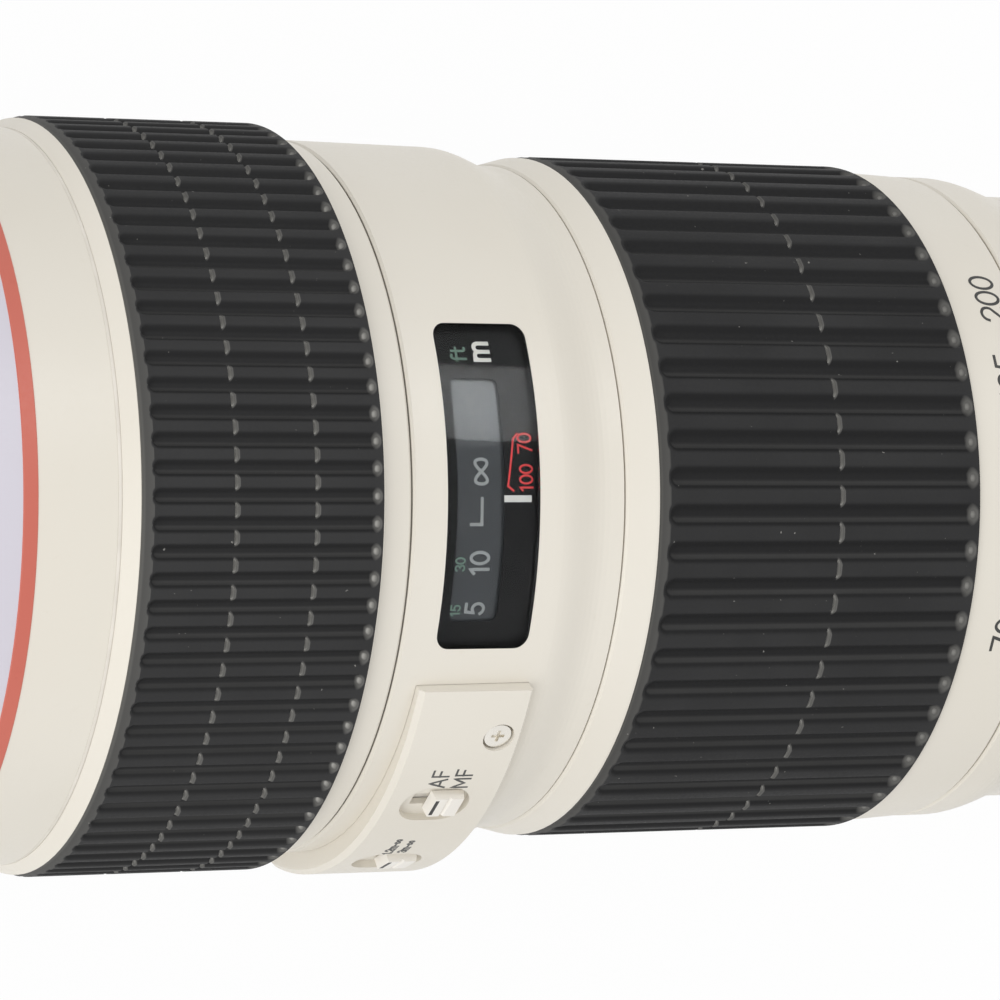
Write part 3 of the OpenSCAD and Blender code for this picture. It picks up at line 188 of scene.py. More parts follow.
def axis_lean(tree, place):
    """How far the surface faces away from the optical axis, and how far it faces round it."""
    flat = add(tree, "ShaderNodeVectorMath", operation="MULTIPLY")
    feed(tree, flat.inputs[0], place)
    flat.inputs[1].default_value = (0.0, 1.0, 1.0)
    spoke = add(tree, "ShaderNodeVectorMath", operation="NORMALIZE")
    feed(tree, spoke.inputs[0], flat.outputs["Vector"])
    round_way = add(tree, "ShaderNodeVectorMath", operation="CROSS_PRODUCT")
    feed(tree, round_way.inputs[0], spoke.outputs["Vector"])
    round_way.inputs[1].default_value = (1.0, 0.0, 0.0)
    normal = add(tree, "ShaderNodeTexCoord").outputs["Normal"]
    leans = []
    for way in (spoke, round_way):
        share = add(tree, "ShaderNodeVectorMath", operation="DOT_PRODUCT")
        feed(tree, share.inputs[0], normal)
        feed(tree, share.inputs[1], way.outputs["Vector"])
        leans.append(share.outputs["Value"])
    return leans


SKIN_OUTPUTS = [
    ("Color", "NodeSocketColor"), ("Roughness", "NodeSocketFloat"), ("Height", "NodeSocketFloat")
]


def make_enamel_skin():
    """Sprayed enamel: fine orange-peel grain, slow tint drift and handling marks, and black inside a bore."""
    tree, take, give = new_group(
        "enamel_skin",
        [
            ("Base Color", "NodeSocketColor", (0.8, 0.8, 0.8, 1)),
            ("Shade Color", "NodeSocketColor", (0.7, 0.7, 0.7, 1)),
            ("Bore Color", "NodeSocketColor", (0.012, 0.012, 0.013, 1)),
            ("Grain Scale", "NodeSocketFloat", 2600.0),
            ("Gloss Low", "NodeSocketFloat", 0.36),
            ("Gloss High", "NodeSocketFloat", 0.5),
        ],
        SKIN_OUTPUTS,
    )
    place = own_place(tree)
    grain = noise(tree, place, take["Grain Scale"], 2.0, 0.55)
    drift = spread(tree, noise(tree, place, 38.0, 3.0), 0.35, 0.65)
    marks = spread(tree, noise(tree, place, 640.0, 4.0, 0.7), 0.62, 0.8, 0.0, 0.45)
    soil = sum_of(tree, sum_of(tree, drift, 0.45, "MULTIPLY"), marks)
    outside = blend_colours(tree, soil, take["Base Color"], take["Shade Color"])
    outward, _ = axis_lean(tree, place)
    bore = spread(tree, outward, -0.55, -0.7)
    feed(tree, give["Color"], blend_colours(tree, bore, outside, take["Bore Color"]))
    feed(tree, give["Roughness"], spread(tree, grain, 0.3, 0.7, take["Gloss Low"], take["Gloss High"]))
    feed(tree, give["Height"], grain)
    return tree


def make_rubber_skin():
    """Moulded rubber: painted shade in the grooves, paler worn tops, painted light on groove flanks that face
    one way round the axis, painted highlights on edges that face the front, and dust specks.
    """
    tree, take, give = new_group(
        "rubber_skin",
        [
            ("Groove Shade Color", "NodeSocketColor", (0.02, 0.02, 0.02, 1)),
            ("Worn Color", "NodeSocketColor", (0.05, 0.05, 0.05, 1)),
            ("Dust And Highlight Color", "NodeSocketColor", (0.2, 0.2, 0.2, 1)),
            ("Top Radius", "NodeSocketFloat", 0.038),
            ("Groove Depth", "NodeSocketFloat", 0.0007),
            ("Rim Highlight", "NodeSocketFloat", 0.22),
            ("End Highlight", "NodeSocketFloat", 0.9),
            ("Flank Highlight", "NodeSocketFloat", 0.03),
        ],
        SKIN_OUTPUTS,
    )
    place = own_place(tree)
    radius, _ = axis_radius(tree, place)
    # Painted shade: groove walls and floors take the groove shade colour by depth and rib tops the paler worn
    # colour, so the grooves look shaded; the paler tops are also wear.
    floor_r = sum_of(tree, take["Top Radius"], take["Groove Depth"], "SUBTRACT")
    wall = sum_of(tree, take["Groove Depth"], 0.3, "MULTIPLY")
    tops = spread(tree, radius, sum_of(tree, take["Top Radius"], wall, "SUBTRACT"), take["Top Radius"])
    half_way = sum_of(tree, floor_r, sum_of(tree, take["Groove Depth"], 0.5, "MULTIPLY"))
    near_floor = sum_of(tree, floor_r, wall)
    below = spread(tree, radius, half_way, near_floor)
    # Painted light: low groove walls that face one way round the axis are made paler, as if lit from that
    # side.
    _, round_lean = axis_lean(tree, place)
    painted_lit_flanks = sum_of(tree, below, spread(tree, round_lean, 0.05, 0.35), "MULTIPLY")
    pale = sum_of(tree, tops, painted_lit_flanks, "MAXIMUM")
    grain = noise(tree, place, 3400.0, 3.0, 0.6)
    cloud = spread(tree, noise(tree, place, 90.0, 3.0), 0.3, 0.7, 0.55, 1.0)
    wear_and_painted_shading = blend_colours(tree, sum_of(tree, pale, cloud, "MULTIPLY"), take["Groove Shade Color"], take["Worn Color"])
    # Painted highlights: surfaces that face the front are lightened towards the pale colour, as if lit from
    # the front. The rims get a little, the round rear ends of the grooves a lot, and the painted lit flanks a
    # little.
    lean = add(tree, "ShaderNodeSeparateXYZ")
    feed(tree, lean.inputs[0], add(tree, "ShaderNodeTexCoord").outputs["Normal"])
    rim_highlight = spread(tree, lean.outputs["X"], -0.12, -0.5, 0.0, take["Rim Highlight"])
    deep = spread(tree, radius, take["Top Radius"], near_floor)
    ends = spread(tree, lean.outputs["X"], -0.5, -0.72, 0.0, take["End Highlight"])
    painted_highlights = sum_of(tree, rim_highlight, sum_of(tree, deep, ends, "MULTIPLY"), "MAXIMUM")
    painted_highlights = sum_of(tree, painted_highlights, sum_of(tree, painted_lit_flanks, take["Flank Highlight"], "MULTIPLY"), "MAXIMUM")
    # Real dust: fine specks in the same pale colour.
    specks = spread(tree, noise(tree, place, 1500.0, 2.0, 0.6), 0.75, 0.79, 0.0, 0.5)
    dust_and_highlights = sum_of(tree, painted_highlights, specks, "MAXIMUM")
    feed(tree, give["Color"], blend_colours(tree, dust_and_highlights, wear_and_painted_shading, take["Dust And Highlight Color"]))
    feed(tree, give["Roughness"], spread(tree, grain, 0.3, 0.7, 0.55, 0.7))
    feed(tree, give["Height"], grain)
    return tree


def make_turned_skin():
    """Lathe-turned metal: fine rings round the axis, with a slow stain."""
    tree, take, give = new_group(
        "turned_skin",
        [
            ("Base Color", "NodeSocketColor", (0.6, 0.6, 0.6, 1)),
            ("Stain Color", "NodeSocketColor", (0.4, 0.4, 0.4, 1)),
            ("Line Scale", "NodeSocketFloat", 9000.0),
            ("Gloss Low", "NodeSocketFloat", 0.22),
            ("Gloss High", "NodeSocketFloat", 0.38),
        ],
        SKIN_OUTPUTS,
    )
    place = own_place(tree)
    radius, station = axis_radius(tree, place)
    rings = add(tree, "ShaderNodeCombineXYZ")
    feed(tree, rings.inputs["X"], station)
    feed(tree, rings.inputs["Y"], radius)
    lines = noise(tree, rings.outputs[0], take["Line Scale"], 2.0, 0.6)
    stain = spread(tree, noise(tree, place, 120.0, 4.0, 0.6), 0.4, 0.75, 0.0, 0.7)
    mottle = sum_of(tree, stain, spread(tree, lines, 0.3, 0.7, 0.0, 0.3))
    feed(tree, give["Color"], blend_colours(tree, mottle, take["Base Color"], take["Stain Color"]))
    feed(tree, give["Roughness"], spread(tree, lines, 0.3, 0.7, take["Gloss Low"], take["Gloss High"]))
    feed(tree, give["Height"], lines)
    return tree


def make_moulded_skin():
    """Moulded plastic, ink and coated boards: a fine even grain with slight mottling."""
    tree, take, give = new_group(
        "moulded_skin",
        [
            ("Base Color", "NodeSocketColor", (0.03, 0.03, 0.03, 1)),
            ("Shade Color", "NodeSocketColor", (0.02, 0.02, 0.02, 1)),
            ("Grain Scale", "NodeSocketFloat", 5200.0),
            ("Gloss Low", "NodeSocketFloat", 0.42),
            ("Gloss High", "NodeSocketFloat", 0.6),
        ],
        SKIN_OUTPUTS,
    )
    place = own_place(tree)
    grain = noise(tree, place, take["Grain Scale"], 3.0, 0.6)
    mottle = spread(tree, noise(tree, place, 260.0, 3.0), 0.3, 0.7)
    feed(tree, give["Color"], blend_colours(tree, mottle, take["Base Color"], take["Shade Color"]))
    feed(tree, give["Roughness"], spread(tree, grain, 0.3, 0.7, take["Gloss Low"], take["Gloss High"]))
    feed(tree, give["Height"], grain)
    return tree


def make_wiped_skin():
    """Wiped glass: a faint bloom in the coating and soft cloth marks in the polish."""
    tree, take, give = new_group(
        "wiped_skin",
        [
            ("Clear Color", "NodeSocketColor", (1, 1, 1, 1)),
            ("Bloom Color", "NodeSocketColor", (0.9, 0.9, 1, 1)),
            ("Gloss Low", "NodeSocketFloat", 0.0),
            ("Gloss High", "NodeSocketFloat", 0.04),
        ],
        SKIN_OUTPUTS,
    )
    place = own_place(tree)
    bloom = spread(tree, noise(tree, place, 55.0, 2.0), 0.35, 0.65)
    marks = noise(tree, place, 300.0, 4.0, 0.65)
    feed(tree, give["Color"], blend_colours(tree, bloom, take["Clear Color"], take["Bloom Color"]))
    feed(tree, give["Roughness"], spread(tree, marks, 0.45, 0.75, take["Gloss Low"], take["Gloss High"]))
    feed(tree, give["Height"], marks)
    return tree


ENAMEL = make_enamel_skin()
RUBBER = make_rubber_skin()
TURNED = make_turned_skin()
MOULDED = make_moulded_skin()
WIPED = make_wiped_skin()


def finish(name, skin, skin_values, shader_values=None, bump=0.0, bump_depth=0.00002):
    """One finish: a Principled shader fed by a shared skin with this finish's own values."""
    material = bpy.data.materials.new(name)
    material.use_nodes = True
    tree = material.node_tree
    shader = tree.nodes["Principled BSDF"]
    for label, value in (shader_values or {}).items():
        shader.inputs[label].default_value = value
    group = add(tree, "ShaderNodeGroup", node_tree=skin)
    for label, value in skin_values.items():
        group.inputs[label].default_value = (*value, 1) if isinstance(value, tuple) else value
    feed(tree, shader.inputs["Base Color"], group.outputs["Color"])
    feed(tree, shader.inputs["Roughness"], group.outputs["Roughness"])
    if bump:
        relief = add(tree, "ShaderNodeBump")
        relief.inputs["Strength"].default_value = bump
        relief.inputs["Distance"].default_value = bump_depth
        feed(tree, relief.inputs["Height"], group.outputs["Height"])
        feed(tree, shader.inputs["Normal"], relief.outputs["Normal"])
    return material


def enamel(name, base, shade, gloss=(0.36, 0.5)):
    values = {"Base Color": base, "Shade Color": shade, "Gloss Low": gloss[0], "Gloss High": gloss[1]}
    return finish(name, ENAMEL, values, {"Specular IOR Level": 0.4}, 0.25)


# The first colour paints shade into the grooves; the second is the paler worn tops.
def rubber(name, top_r, depth, deep, wear_and_painted_shading):
    values = {
        "Groove Shade Color": deep,
        "Worn Color": wear_and_painted_shading,
        # The pale colour serves the dust specks and the painted highlights.
        "Dust And Highlight Color": (0.44, 0.43, 0.4),
        "Top Radius": top_r * MM,
        "Groove Depth": depth * MM,
    }
    return finish(name, RUBBER, values, {"Specular IOR Level": 0.12}, 0.3)


def turned(name, base, stain, gloss=(0.22, 0.38), metallic=1.0):
    values = {"Base Color": base, "Stain Color": stain, "Gloss Low": gloss[0], "Gloss High": gloss[1]}
    return finish(name, TURNED, values, {"Metallic": metallic}, 0.2)


def moulded(name, base, shade, gloss=(0.42, 0.6), grain=5200.0, shine=0.4):
    values = {
        "Base Color": base, "Shade Color": shade, "Grain Scale": grain,
        "Gloss Low": gloss[0], "Gloss High": gloss[1],
    }
    return finish(name, MOULDED, values, {"Specular IOR Level": shine}, 0.2)


def glass(name, clear, bloom, gloss_high, index, glint=(1.0, 1.0, 1.0)):
    """Clear glass: a coating takes away all of the reflection but the glint."""
    values = {"Clear Color": clear, "Bloom Color": bloom, "Gloss High": gloss_high}
    shader_values = {"Transmission Weight": 1.0, "IOR": index, "Specular Tint": (*glint, 1)}
    return finish(name, WIPED, values, shader_values)


CREAM = enamel("cream_enamel", (0.775, 0.735, 0.655), (0.735, 0.69, 0.60))
LILAC = enamel("lilac_grey_enamel", (0.66, 0.635, 0.70), (0.60, 0.575, 0.64))
RED = enamel("red_enamel", (0.60, 0.155, 0.112), (0.53, 0.125, 0.09))
BLACK_METAL = turned("black_anodised_alloy", (0.018, 0.018, 0.02), (0.03, 0.03, 0.032), (0.4, 0.55), 0.3)
ALLOY = turned("turned_alloy", (0.62, 0.62, 0.64), (0.48, 0.48, 0.5))
STEEL = turned("polished_steel", (0.72, 0.72, 0.73), (0.58, 0.58, 0.6), (0.14, 0.26))
BRIGHT = turned("bright_screw", (0.86, 0.83, 0.77), (0.76, 0.73, 0.67), (0.2, 0.34))
BRASS = turned("turned_brass", (0.72, 0.55, 0.27), (0.55, 0.4, 0.18))
GOLD = turned("plated_contact", (0.86, 0.66, 0.3), (0.7, 0.5, 0.2), (0.12, 0.24))
BLACK_PLASTIC = moulded("black_moulding", (0.016, 0.016, 0.017), (0.024, 0.024, 0.026))
CREAM_PLASTIC = moulded("cream_moulding", (0.88, 0.85, 0.79), (0.84, 0.80, 0.73), (0.3, 0.42))
FELT = moulded("pale_felt", (0.8, 0.76, 0.69), (0.7, 0.66, 0.59), (0.7, 0.9), 2600.0, 0.1)
DARK_FELT = moulded("dark_felt", (0.17, 0.155, 0.13), (0.13, 0.118, 0.1), (0.7, 0.9), 2600.0, 0.1)
BOARD = moulded("green_board", (0.03, 0.14, 0.06), (0.05, 0.2, 0.09), (0.3, 0.45), 1800.0)
DRUM = moulded("slate_scale_drum", (0.036, 0.039, 0.041), (0.044, 0.047, 0.05), (0.08, 0.16), shine=0.32)
MASK = moulded("black_window_mask", (0.007, 0.007, 0.007), (0.01, 0.01, 0.01), (0.35, 0.5), shine=0.06)
BLADE = turned("blackened_blade", (0.03, 0.03, 0.032), (0.05, 0.05, 0.055), (0.35, 0.5), 0.8)
LENS = glass("coated_lens_glass", (0.95, 0.98, 0.96), (0.9, 0.94, 1.0), 0.02, 1.52, (0.17, 0.13, 0.22))
PANE = glass("coated_pane", (0.97, 0.98, 0.98), (0.93, 0.95, 0.97), 0.03, 1.165)
PALE_INK = moulded("pale_ink", (0.72, 0.7, 0.65), (0.62, 0.6, 0.55))
SCALE_INK = moulded("dim_scale_ink", (0.30, 0.31, 0.30), (0.25, 0.26, 0.25))
GREEN_INK = moulded("green_ink", (0.12, 0.2, 0.15), (0.1, 0.165, 0.125))
RED_INK = moulded("red_ink", (0.75, 0.05, 0.05), (0.62, 0.04, 0.04))
BLACK_INK = moulded("black_ink", (0.035, 0.035, 0.033), (0.05, 0.05, 0.048))
GREY_INK = moulded("dark_grey_ink", (0.07, 0.07, 0.068), (0.1, 0.1, 0.095))
# Painted shade: each rubber's first colour is the shade painted into its grooves, the second its paler worn
# tops.
FOCUS_RUBBER = rubber(
    "focus_rubber", FOCUS_GRIP_R, RIB_DEPTH, (0.024, 0.024, 0.0245), (0.037, 0.037, 0.0375)
)
ZOOM_RUBBER = rubber(
    "zoom_rubber", ZOOM_GRIP_R, RIB_DEPTH, (0.0165, 0.0165, 0.017), (0.0325, 0.0325, 0.033)
)

SLOT_FINISH = {
    "white_paint": CREAM, "black_paint": BLACK_METAL, "grip_rubber": FOCUS_RUBBER, "red_paint": RED,
    "alloy": ALLOY, "steel": STEEL, "brass": BRASS, "contact_gold": GOLD, "black_plastic": BLACK_PLASTIC,
    "white_plastic": CREAM_PLASTIC, "board_green": BOARD, "lens_glass": LENS, "window_clear": PANE,
}
NODE_FINISH = {
    "name_ring": LILAC, "zoom_grip": ZOOM_RUBBER, "scale_drum": DRUM, "panel_screws": BRIGHT,
    "front_tube": CREAM, "main_tube": CREAM, "switch_panel": CREAM,
}


def dress_cad_nodes():
    for part in frame["record"]["subparts"]:
        node = part["node"]
        chosen = NODE_FINISH.get(node, SLOT_FINISH[part["material_slot"]])
        if node.startswith("blade_"):
            chosen = BLADE
        mesh = frame["nodes"][node].data
        mesh.materials.clear()
        mesh.materials.append(chosen)


dress_cad_nodes()


# Meshes


def on_barrel(x, radius, turn):
    """A point at a station, a radius and an angle in degrees from the top towards plus Y."""
    t = math.radians(turn)
    return (x * MM, radius * math.sin(t) * MM, radius * math.cos(t) * MM)


def make_piece(name, points, faces, body, material, smooth_angle=40.0):
    mesh = bpy.data.meshes.new(name)
    mesh.from_pydata(points, [], faces)
    shape = bmesh.new()
    shape.from_mesh(mesh)
    bmesh.ops.recalc_face_normals(shape, faces=shape.faces)
    shape.to_mesh(mesh)
    shape.free()
    mesh.polygons.foreach_set("use_smooth", [True] * len(mesh.polygons))
    mesh.set_sharp_from_angle(angle=math.radians(smooth_angle))
    mesh.materials.append(material)
    piece = bpy.data.objects.new(name, mesh)
    bpy.context.scene.collection.objects.link(piece)
    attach(piece, body)
    return piece


def loop_faces(loops, count):
    """Quads of a closed band: each loop is closed, and the last loop joins the first."""
    faces = []
    for i in range(loops):
        j = (i + 1) % loops
        for k in range(count):
            m = (k + 1) % count
            faces.append((i * count + k, i * count + m, j * count + m, j * count + k))
    return faces


# Rubber grips

# Groove section: how deep it is at each distance from its middle, in half widths
GROOVE_AT = (0.0, 0.25, 0.4, 0.55, 0.7, 0.85, 1.0, 1.1, 1.2)
GROOVE_DEPTH = (1.0, 1.0, 0.93, 0.76, 0.54, 0.31, 0.1, 0.03, 0.0)
GROOVE_SHARE = 0.31
RUBBER_FRONT_RIM = 1.1
RUBBER_REAR_RIM = 0.4
# Drop of the sloped front rim at each distance from the front edge, in mm
RIM_AT = (0.0, 0.12, 1.25)
RIM_DROP = (0.62, 0.42, 0.0)
# Section of a split across the ribs: a steep front wall and a sloped rear wall, in mm
SPLIT_AT = (-0.2, -0.14, 0.0, 0.1, 0.26, 0.36)
SPLIT_DROP = (0.0, 0.42, 0.5, 0.4, 0.08, 0.0)
# Drop of the rear rim at each distance before the rear edge, in mm
REAR_RIM_AT = (0.22, 0.1, 0.0)
REAR_RIM_DROP = (0.0, 0.1, 0.35)
# Rows of points: from the front edge in mm, at a groove's end in half widths, and about a split in mm
RIM_ROWS = (*RIM_AT, 0.5, 0.9, 1.4)
GROOVE_END_ROWS = (1.2, 1.1, 1.0, 0.85, 0.7, 0.55, 0.4, 0.25, 0.1)
SPLIT_ROWS = (-0.28, *SPLIT_AT, 0.44)
RUBBER_LEAST = 0.2


def grip_rows(front, rear, groove_start, groove_end, half, splits):
    """Stations of the rows: close together at the groove ends and the splits."""
    ends = [half * (1 - q) for q in GROOVE_END_ROWS]
    rows = [front + at for at in RIM_ROWS]
    rows += [groove_start + e for e in ends]
    rows += [groove_end - e for e in ends]
    for split in splits:
        rows += [split + at for at in SPLIT_ROWS]
    rows += [rear - at for at in REAR_RIM_AT]
    return sorted(set(round(row, 4) for row in rows))


def make_grip(name, node, body, span, top_r, bore_r, depth, count, phase, splits, material):
    """A moulded rubber sleeve with U-shaped grooves that end round and rows split across."""
    front, rear = span
    pitch = 2 * math.pi * top_r / count
    half = GROOVE_SHARE * pitch
    groove_start = front + RUBBER_FRONT_RIM
    groove_end = rear - RUBBER_REAR_RIM
    side = [q * GROOVE_SHARE for q in GROOVE_AT]
    shares = sorted([-s for s in side[1:]] + side + [0.5])
    turns = np.array([(i + s) * 360.0 / count + phase for i in range(count) for s in shares])
    across = np.array([s * pitch for _ in range(count) for s in shares])
    sin_t, cos_t = np.sin(np.radians(turns)), np.cos(np.radians(turns))
    rows = grip_rows(front, rear, groove_start, groove_end, half, splits)
    loops = []
    for x in rows:
        past_end = max(0.0, groove_start + half - x, x - (groove_end - half))
        reach = np.sqrt(past_end ** 2 + across ** 2) / half
        cut = depth * np.interp(reach, GROOVE_AT, GROOVE_DEPTH)
        for split in splits:
            cut = np.maximum(cut, np.interp(x - split, SPLIT_AT, SPLIT_DROP))
        edge = np.interp(x - front, RIM_AT, RIM_DROP)
        edge += np.interp(x, [rear - at for at in REAR_RIM_AT], REAR_RIM_DROP)
        r = top_r - np.minimum(np.maximum(cut, edge), top_r - bore_r - RUBBER_LEAST)
        loops.append(np.stack([np.full(len(r), x), r * sin_t, r * cos_t], axis=1))
    for x in (rear, front):
        loops.append(np.stack([np.full(len(sin_t), x), bore_r * sin_t, bore_r * cos_t], axis=1))
    points = np.concatenate(loops) * MM
    piece = make_piece(
        name, points.tolist(), loop_faces(len(loops), len(turns)), body, material, 60.0
    )
    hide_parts(node)


make_grip(
    "focus_grip_rubber", "focus_grip", "focus_ring", FOCUS_GRIP, FOCUS_GRIP_R, FOCUS_GRIP_BORE_R,
    RIB_DEPTH, FOCUS_RIBS, FOCUS_RIB_TURN, FOCUS_SPLITS, FOCUS_RUBBER,
)
make_grip(
    "zoom_grip_rubber", "zoom_grip", "zoom_ring", ZOOM_GRIP, ZOOM_GRIP_R, ZOOM_GRIP_BORE_R,
    RIB_DEPTH, ZOOM_RIBS, ZOOM_RIB_TURN, ZOOM_SPLITS, ZOOM_RUBBER,
)


# Distance window

# Longest straight side of an outline that follows the barrel, in mm
SIDE_STEP = 0.8
# How far the seal's two walls lie outside the window's edge
SEAL_INNER = -0.045
SEAL_OUTER = -0.005
# Rings of points between the mask's slot and its edge, as shares of the way out
MASK_RINGS = (0.0, 0.25, 0.5, 0.75, 1.0)
SLOT_CORNER = 0.8


def round_rectangle(len_x, len_y, corner, steps=8):
    """Outline of a rectangle with round corners, as points round its middle."""
    points = []
    for sx, sy, start in ((1, 1, 0), (-1, 1, 90), (-1, -1, 180), (1, -1, 270)):
        for i in range(steps + 1):
            a = math.radians(start + 90.0 * i / steps)
            x = sx * (len_x / 2 - corner) + corner * math.cos(a)
            y = sy * (len_y / 2 - corner) + corner * math.sin(a)
            points.append((x, y))
    return points


def fill_sides(points, guide):
    """The same outline with each side cut as often as the guide's side needs to follow the barrel."""
    filled = []
    for (x0, y0), (x1, y1), (gx0, gy0), (gx1, gy1) in zip(
        points, points[1:] + points[:1], guide, guide[1:] + guide[:1]
    ):
        cuts = max(1, math.ceil(math.hypot(gx1 - gx0, gy1 - gy0) / SIDE_STEP))
        filled += [(x0 + (x1 - x0) * i / cuts, y0 + (y1 - y0) * i / cuts) for i in range(cuts)]
    return filled


WINDOW_MID = sum(WINDOW_TURN) / 2
WINDOW_CENTRE = sum(WINDOW_X) / 2
WINDOW_LEN = WINDOW_X[1] - WINDOW_X[0]
WINDOW_WIDTH = 2 * BARREL_R * math.sin(math.radians((WINDOW_TURN[1] - WINDOW_TURN[0]) / 2))


def window_loop(grow, radius):
    """The window's outline, larger by grow, laid on a cylinder of that radius."""
    outline = round_rectangle(WINDOW_LEN + 2 * grow, WINDOW_WIDTH + 2 * grow, WINDOW_CORNER + grow)
    return [
        on_barrel(WINDOW_CENTRE + x, radius, WINDOW_MID + math.degrees(math.asin(y / radius)))
        for x, y in fill_sides(outline, outline)
    ]


def make_window_seal():
    """The thin black line of sealant between the pane and the barrel."""
    loops = [
        window_loop(SEAL_INNER, PANE_STEP_R), window_loop(SEAL_INNER, BARREL_R - 0.05),
        window_loop(SEAL_OUTER, BARREL_R - 0.02), window_loop(SEAL_OUTER, PANE_STEP_R),
    ]
    points = [p for loop in loops for p in loop]
    faces = loop_faces(len(loops), len(loops[0]))
    make_piece("window_seal", points, faces, "barrel", MASK)


def make_window_mask():
    """The black mask under the pane, with the slot that shows the distance scale."""
    outer = round_rectangle(WINDOW_LEN + 1.1, WINDOW_WIDTH + 1.0, WINDOW_CORNER + 0.5)
    slot_mid = math.radians(sum(SLOT_TURN) / 2 - WINDOW_MID) * PANE_BOTTOM_R
    slot_y = math.radians(SLOT_TURN[1] - SLOT_TURN[0]) * PANE_BOTTOM_R
    slot = round_rectangle(SLOT_X[1] - SLOT_X[0], slot_y, SLOT_CORNER)
    slot_x = sum(SLOT_X) / 2 - WINDOW_CENTRE
    inner = [(x + slot_x, y + slot_mid) for x, y in slot]
    rings = [
        [(ix + (ox - ix) * share, iy + (oy - iy) * share) for (ix, iy), (ox, oy) in zip(inner, outer)]
        for share in MASK_RINGS
    ]
    sides = [fill_sides(ring, rings[-1]) for ring in rings]
    points = []
    for radius, order in ((MASK_R, sides), (MASK_BOTTOM_R, sides[::-1])):
        for ring in order:
            points += [
                on_barrel(WINDOW_CENTRE + x, radius, WINDOW_MID + math.degrees(y / PANE_BOTTOM_R))
                for x, y in ring
            ]
    faces = loop_faces(2 * len(sides), len(sides[0]))
    make_piece("window_mask", points, faces, "barrel", MASK, 30.0)


make_window_seal()
make_window_mask()


# Engraved and filled marks, drawn as strokes


def arc(cx, cy, rx, ry, start, end, steps=12):
    return [
        (
            cx + rx * math.cos(math.radians(start + (end - start) * i / steps)),
            cy + ry * math.sin(math.radians(start + (end - start) * i / steps)),
        )
        for i in range(steps + 1)
    ]


# Each sign: its width and its strokes, in heights
SIGNS = {
    "0": (0.62, [arc(0.31, 0.5, 0.28, 0.47, 90, 450, 24)]),
    "1": (0.40, [[(0.06, 0.78), (0.25, 0.97), (0.25, 0.03)]]),
    "2": (0.62, [arc(0.31, 0.69, 0.27, 0.28, 170, -38, 14) + [(0.05, 0.03), (0.58, 0.03)]]),
    "3": (0.60, [arc(0.28, 0.73, 0.23, 0.24, 155, -85, 12) + arc(0.29, 0.26, 0.26, 0.23, 80, -155, 14)]),
    "5": (0.62, [[(0.53, 0.97), (0.14, 0.97), (0.09, 0.55)] + arc(0.29, 0.33, 0.27, 0.30, 130, -150, 16)]),
    "7": (0.58, [[(0.04, 0.97), (0.54, 0.97), (0.20, 0.03)]]),
    "A": (0.74, [[(0.04, 0.03), (0.36, 0.97), (0.68, 0.03)], [(0.16, 0.34), (0.56, 0.34)]]),
    "F": (0.58, [[(0.08, 0.03), (0.08, 0.97), (0.52, 0.97)], [(0.08, 0.53), (0.45, 0.53)]]),
    "M": (0.86, [[(0.07, 0.03), (0.07, 0.97), (0.42, 0.28), (0.77, 0.97), (0.77, 0.03)]]),
    "m": (0.98, [
        [(0.08, 0.03), (0.08, 0.68)],
        arc(0.28, 0.46, 0.20, 0.22, 180, 0, 8) + [(0.48, 0.03)],
        arc(0.68, 0.46, 0.20, 0.22, 180, 0, 8) + [(0.88, 0.03)],
    ]),
    "f": (0.42, [arc(0.32, 0.75, 0.16, 0.22, 60, 180, 6) + [(0.16, 0.03)], [(0.02, 0.62), (0.36, 0.62)]]),
    "t": (0.42, [
        [(0.16, 0.9), (0.16, 0.2)] + arc(0.30, 0.2, 0.14, 0.17, 180, 290, 6),
        [(0.02, 0.62), (0.36, 0.62)],
    ]),
    ".": (0.24, [[(0.11, 0.03), (0.12, 0.1)]]),
    "-": (0.46, [[(0.06, 0.45), (0.38, 0.45)]]),
    # The sign for infinity, an 8 that lies down
    "8": (1.16, [[
        (0.56 + 0.48 * math.sin(a), 0.45 + 0.26 * math.sin(2 * a))
        for a in (math.radians(15 * i) for i in range(25))
    ]]),
}
SIGN_GAP = 0.10
# Strokes: the longest straight run and how high they stand, in mm, and the most that a bend widens them
STROKE_STEP = 0.35
MARK_LIFT = 0.012
SCALE_LIFT = 0.015
BEND_LIMIT = 1.6
# Numbers and where each stands, in degrees from the top
FOCAL_MARKS = (("200", 36.0), ("135", 20.4), ("100", 0.0), ("70", -24.0))
METRE_MARKS = (("10", -10.7), ("5", -18.2), ("3", -26.5), ("2", -36.0), ("1.5", -47.0), ("1.2", -57.0))
FOOT_MARKS = (("30", -10.9), ("15", -18.5), ("10", -27.0), ("7", -36.5), ("5", -47.5))
NUMBER_X = -45.2
NUMBER_TICK_X = (-43.1, -42.2)
NUMBER_HEIGHT = 2.85
NUMBER_R = 34.8
METRE_X = -105.7
METRE_HEIGHT = 2.0
FOOT_X = -107.75
FOOT_HEIGHT = 1.0
INDEX_TURN = -0.4
RED_HOOK = ((-101.95, 9.9), (-102.4, 9.0), (-103.1, 1.6), (-102.55, 0.9))
MODE_KNOB_TURN = -53.0
RANGE_KNOB_TURN = -73.0
ZOOM_INDEX_X = (-41.2, -39.1)
MOUNT_DOT_X = -5.6


def words(text, x, turn, height, radius):
    """Strokes of a line of signs that reads up the barrel, as lists of (station, arc length)."""
    wide = sum(SIGNS[c][0] for c in text) + SIGN_GAP * (len(text) - 1)
    at = -wide / 2
    middle = math.radians(turn) * radius
    strokes = []
    for c in text:
        for stroke in SIGNS[c][1]:
            strokes.append([(x - (v - 0.5) * height, middle + (at + u) * height) for u, v in stroke])
        at += SIGNS[c][0] + SIGN_GAP
    return strokes


def line(x0, turn0, x1, turn1, radius):
    return [[(x0, math.radians(turn0) * radius), (x1, math.radians(turn1) * radius)]]


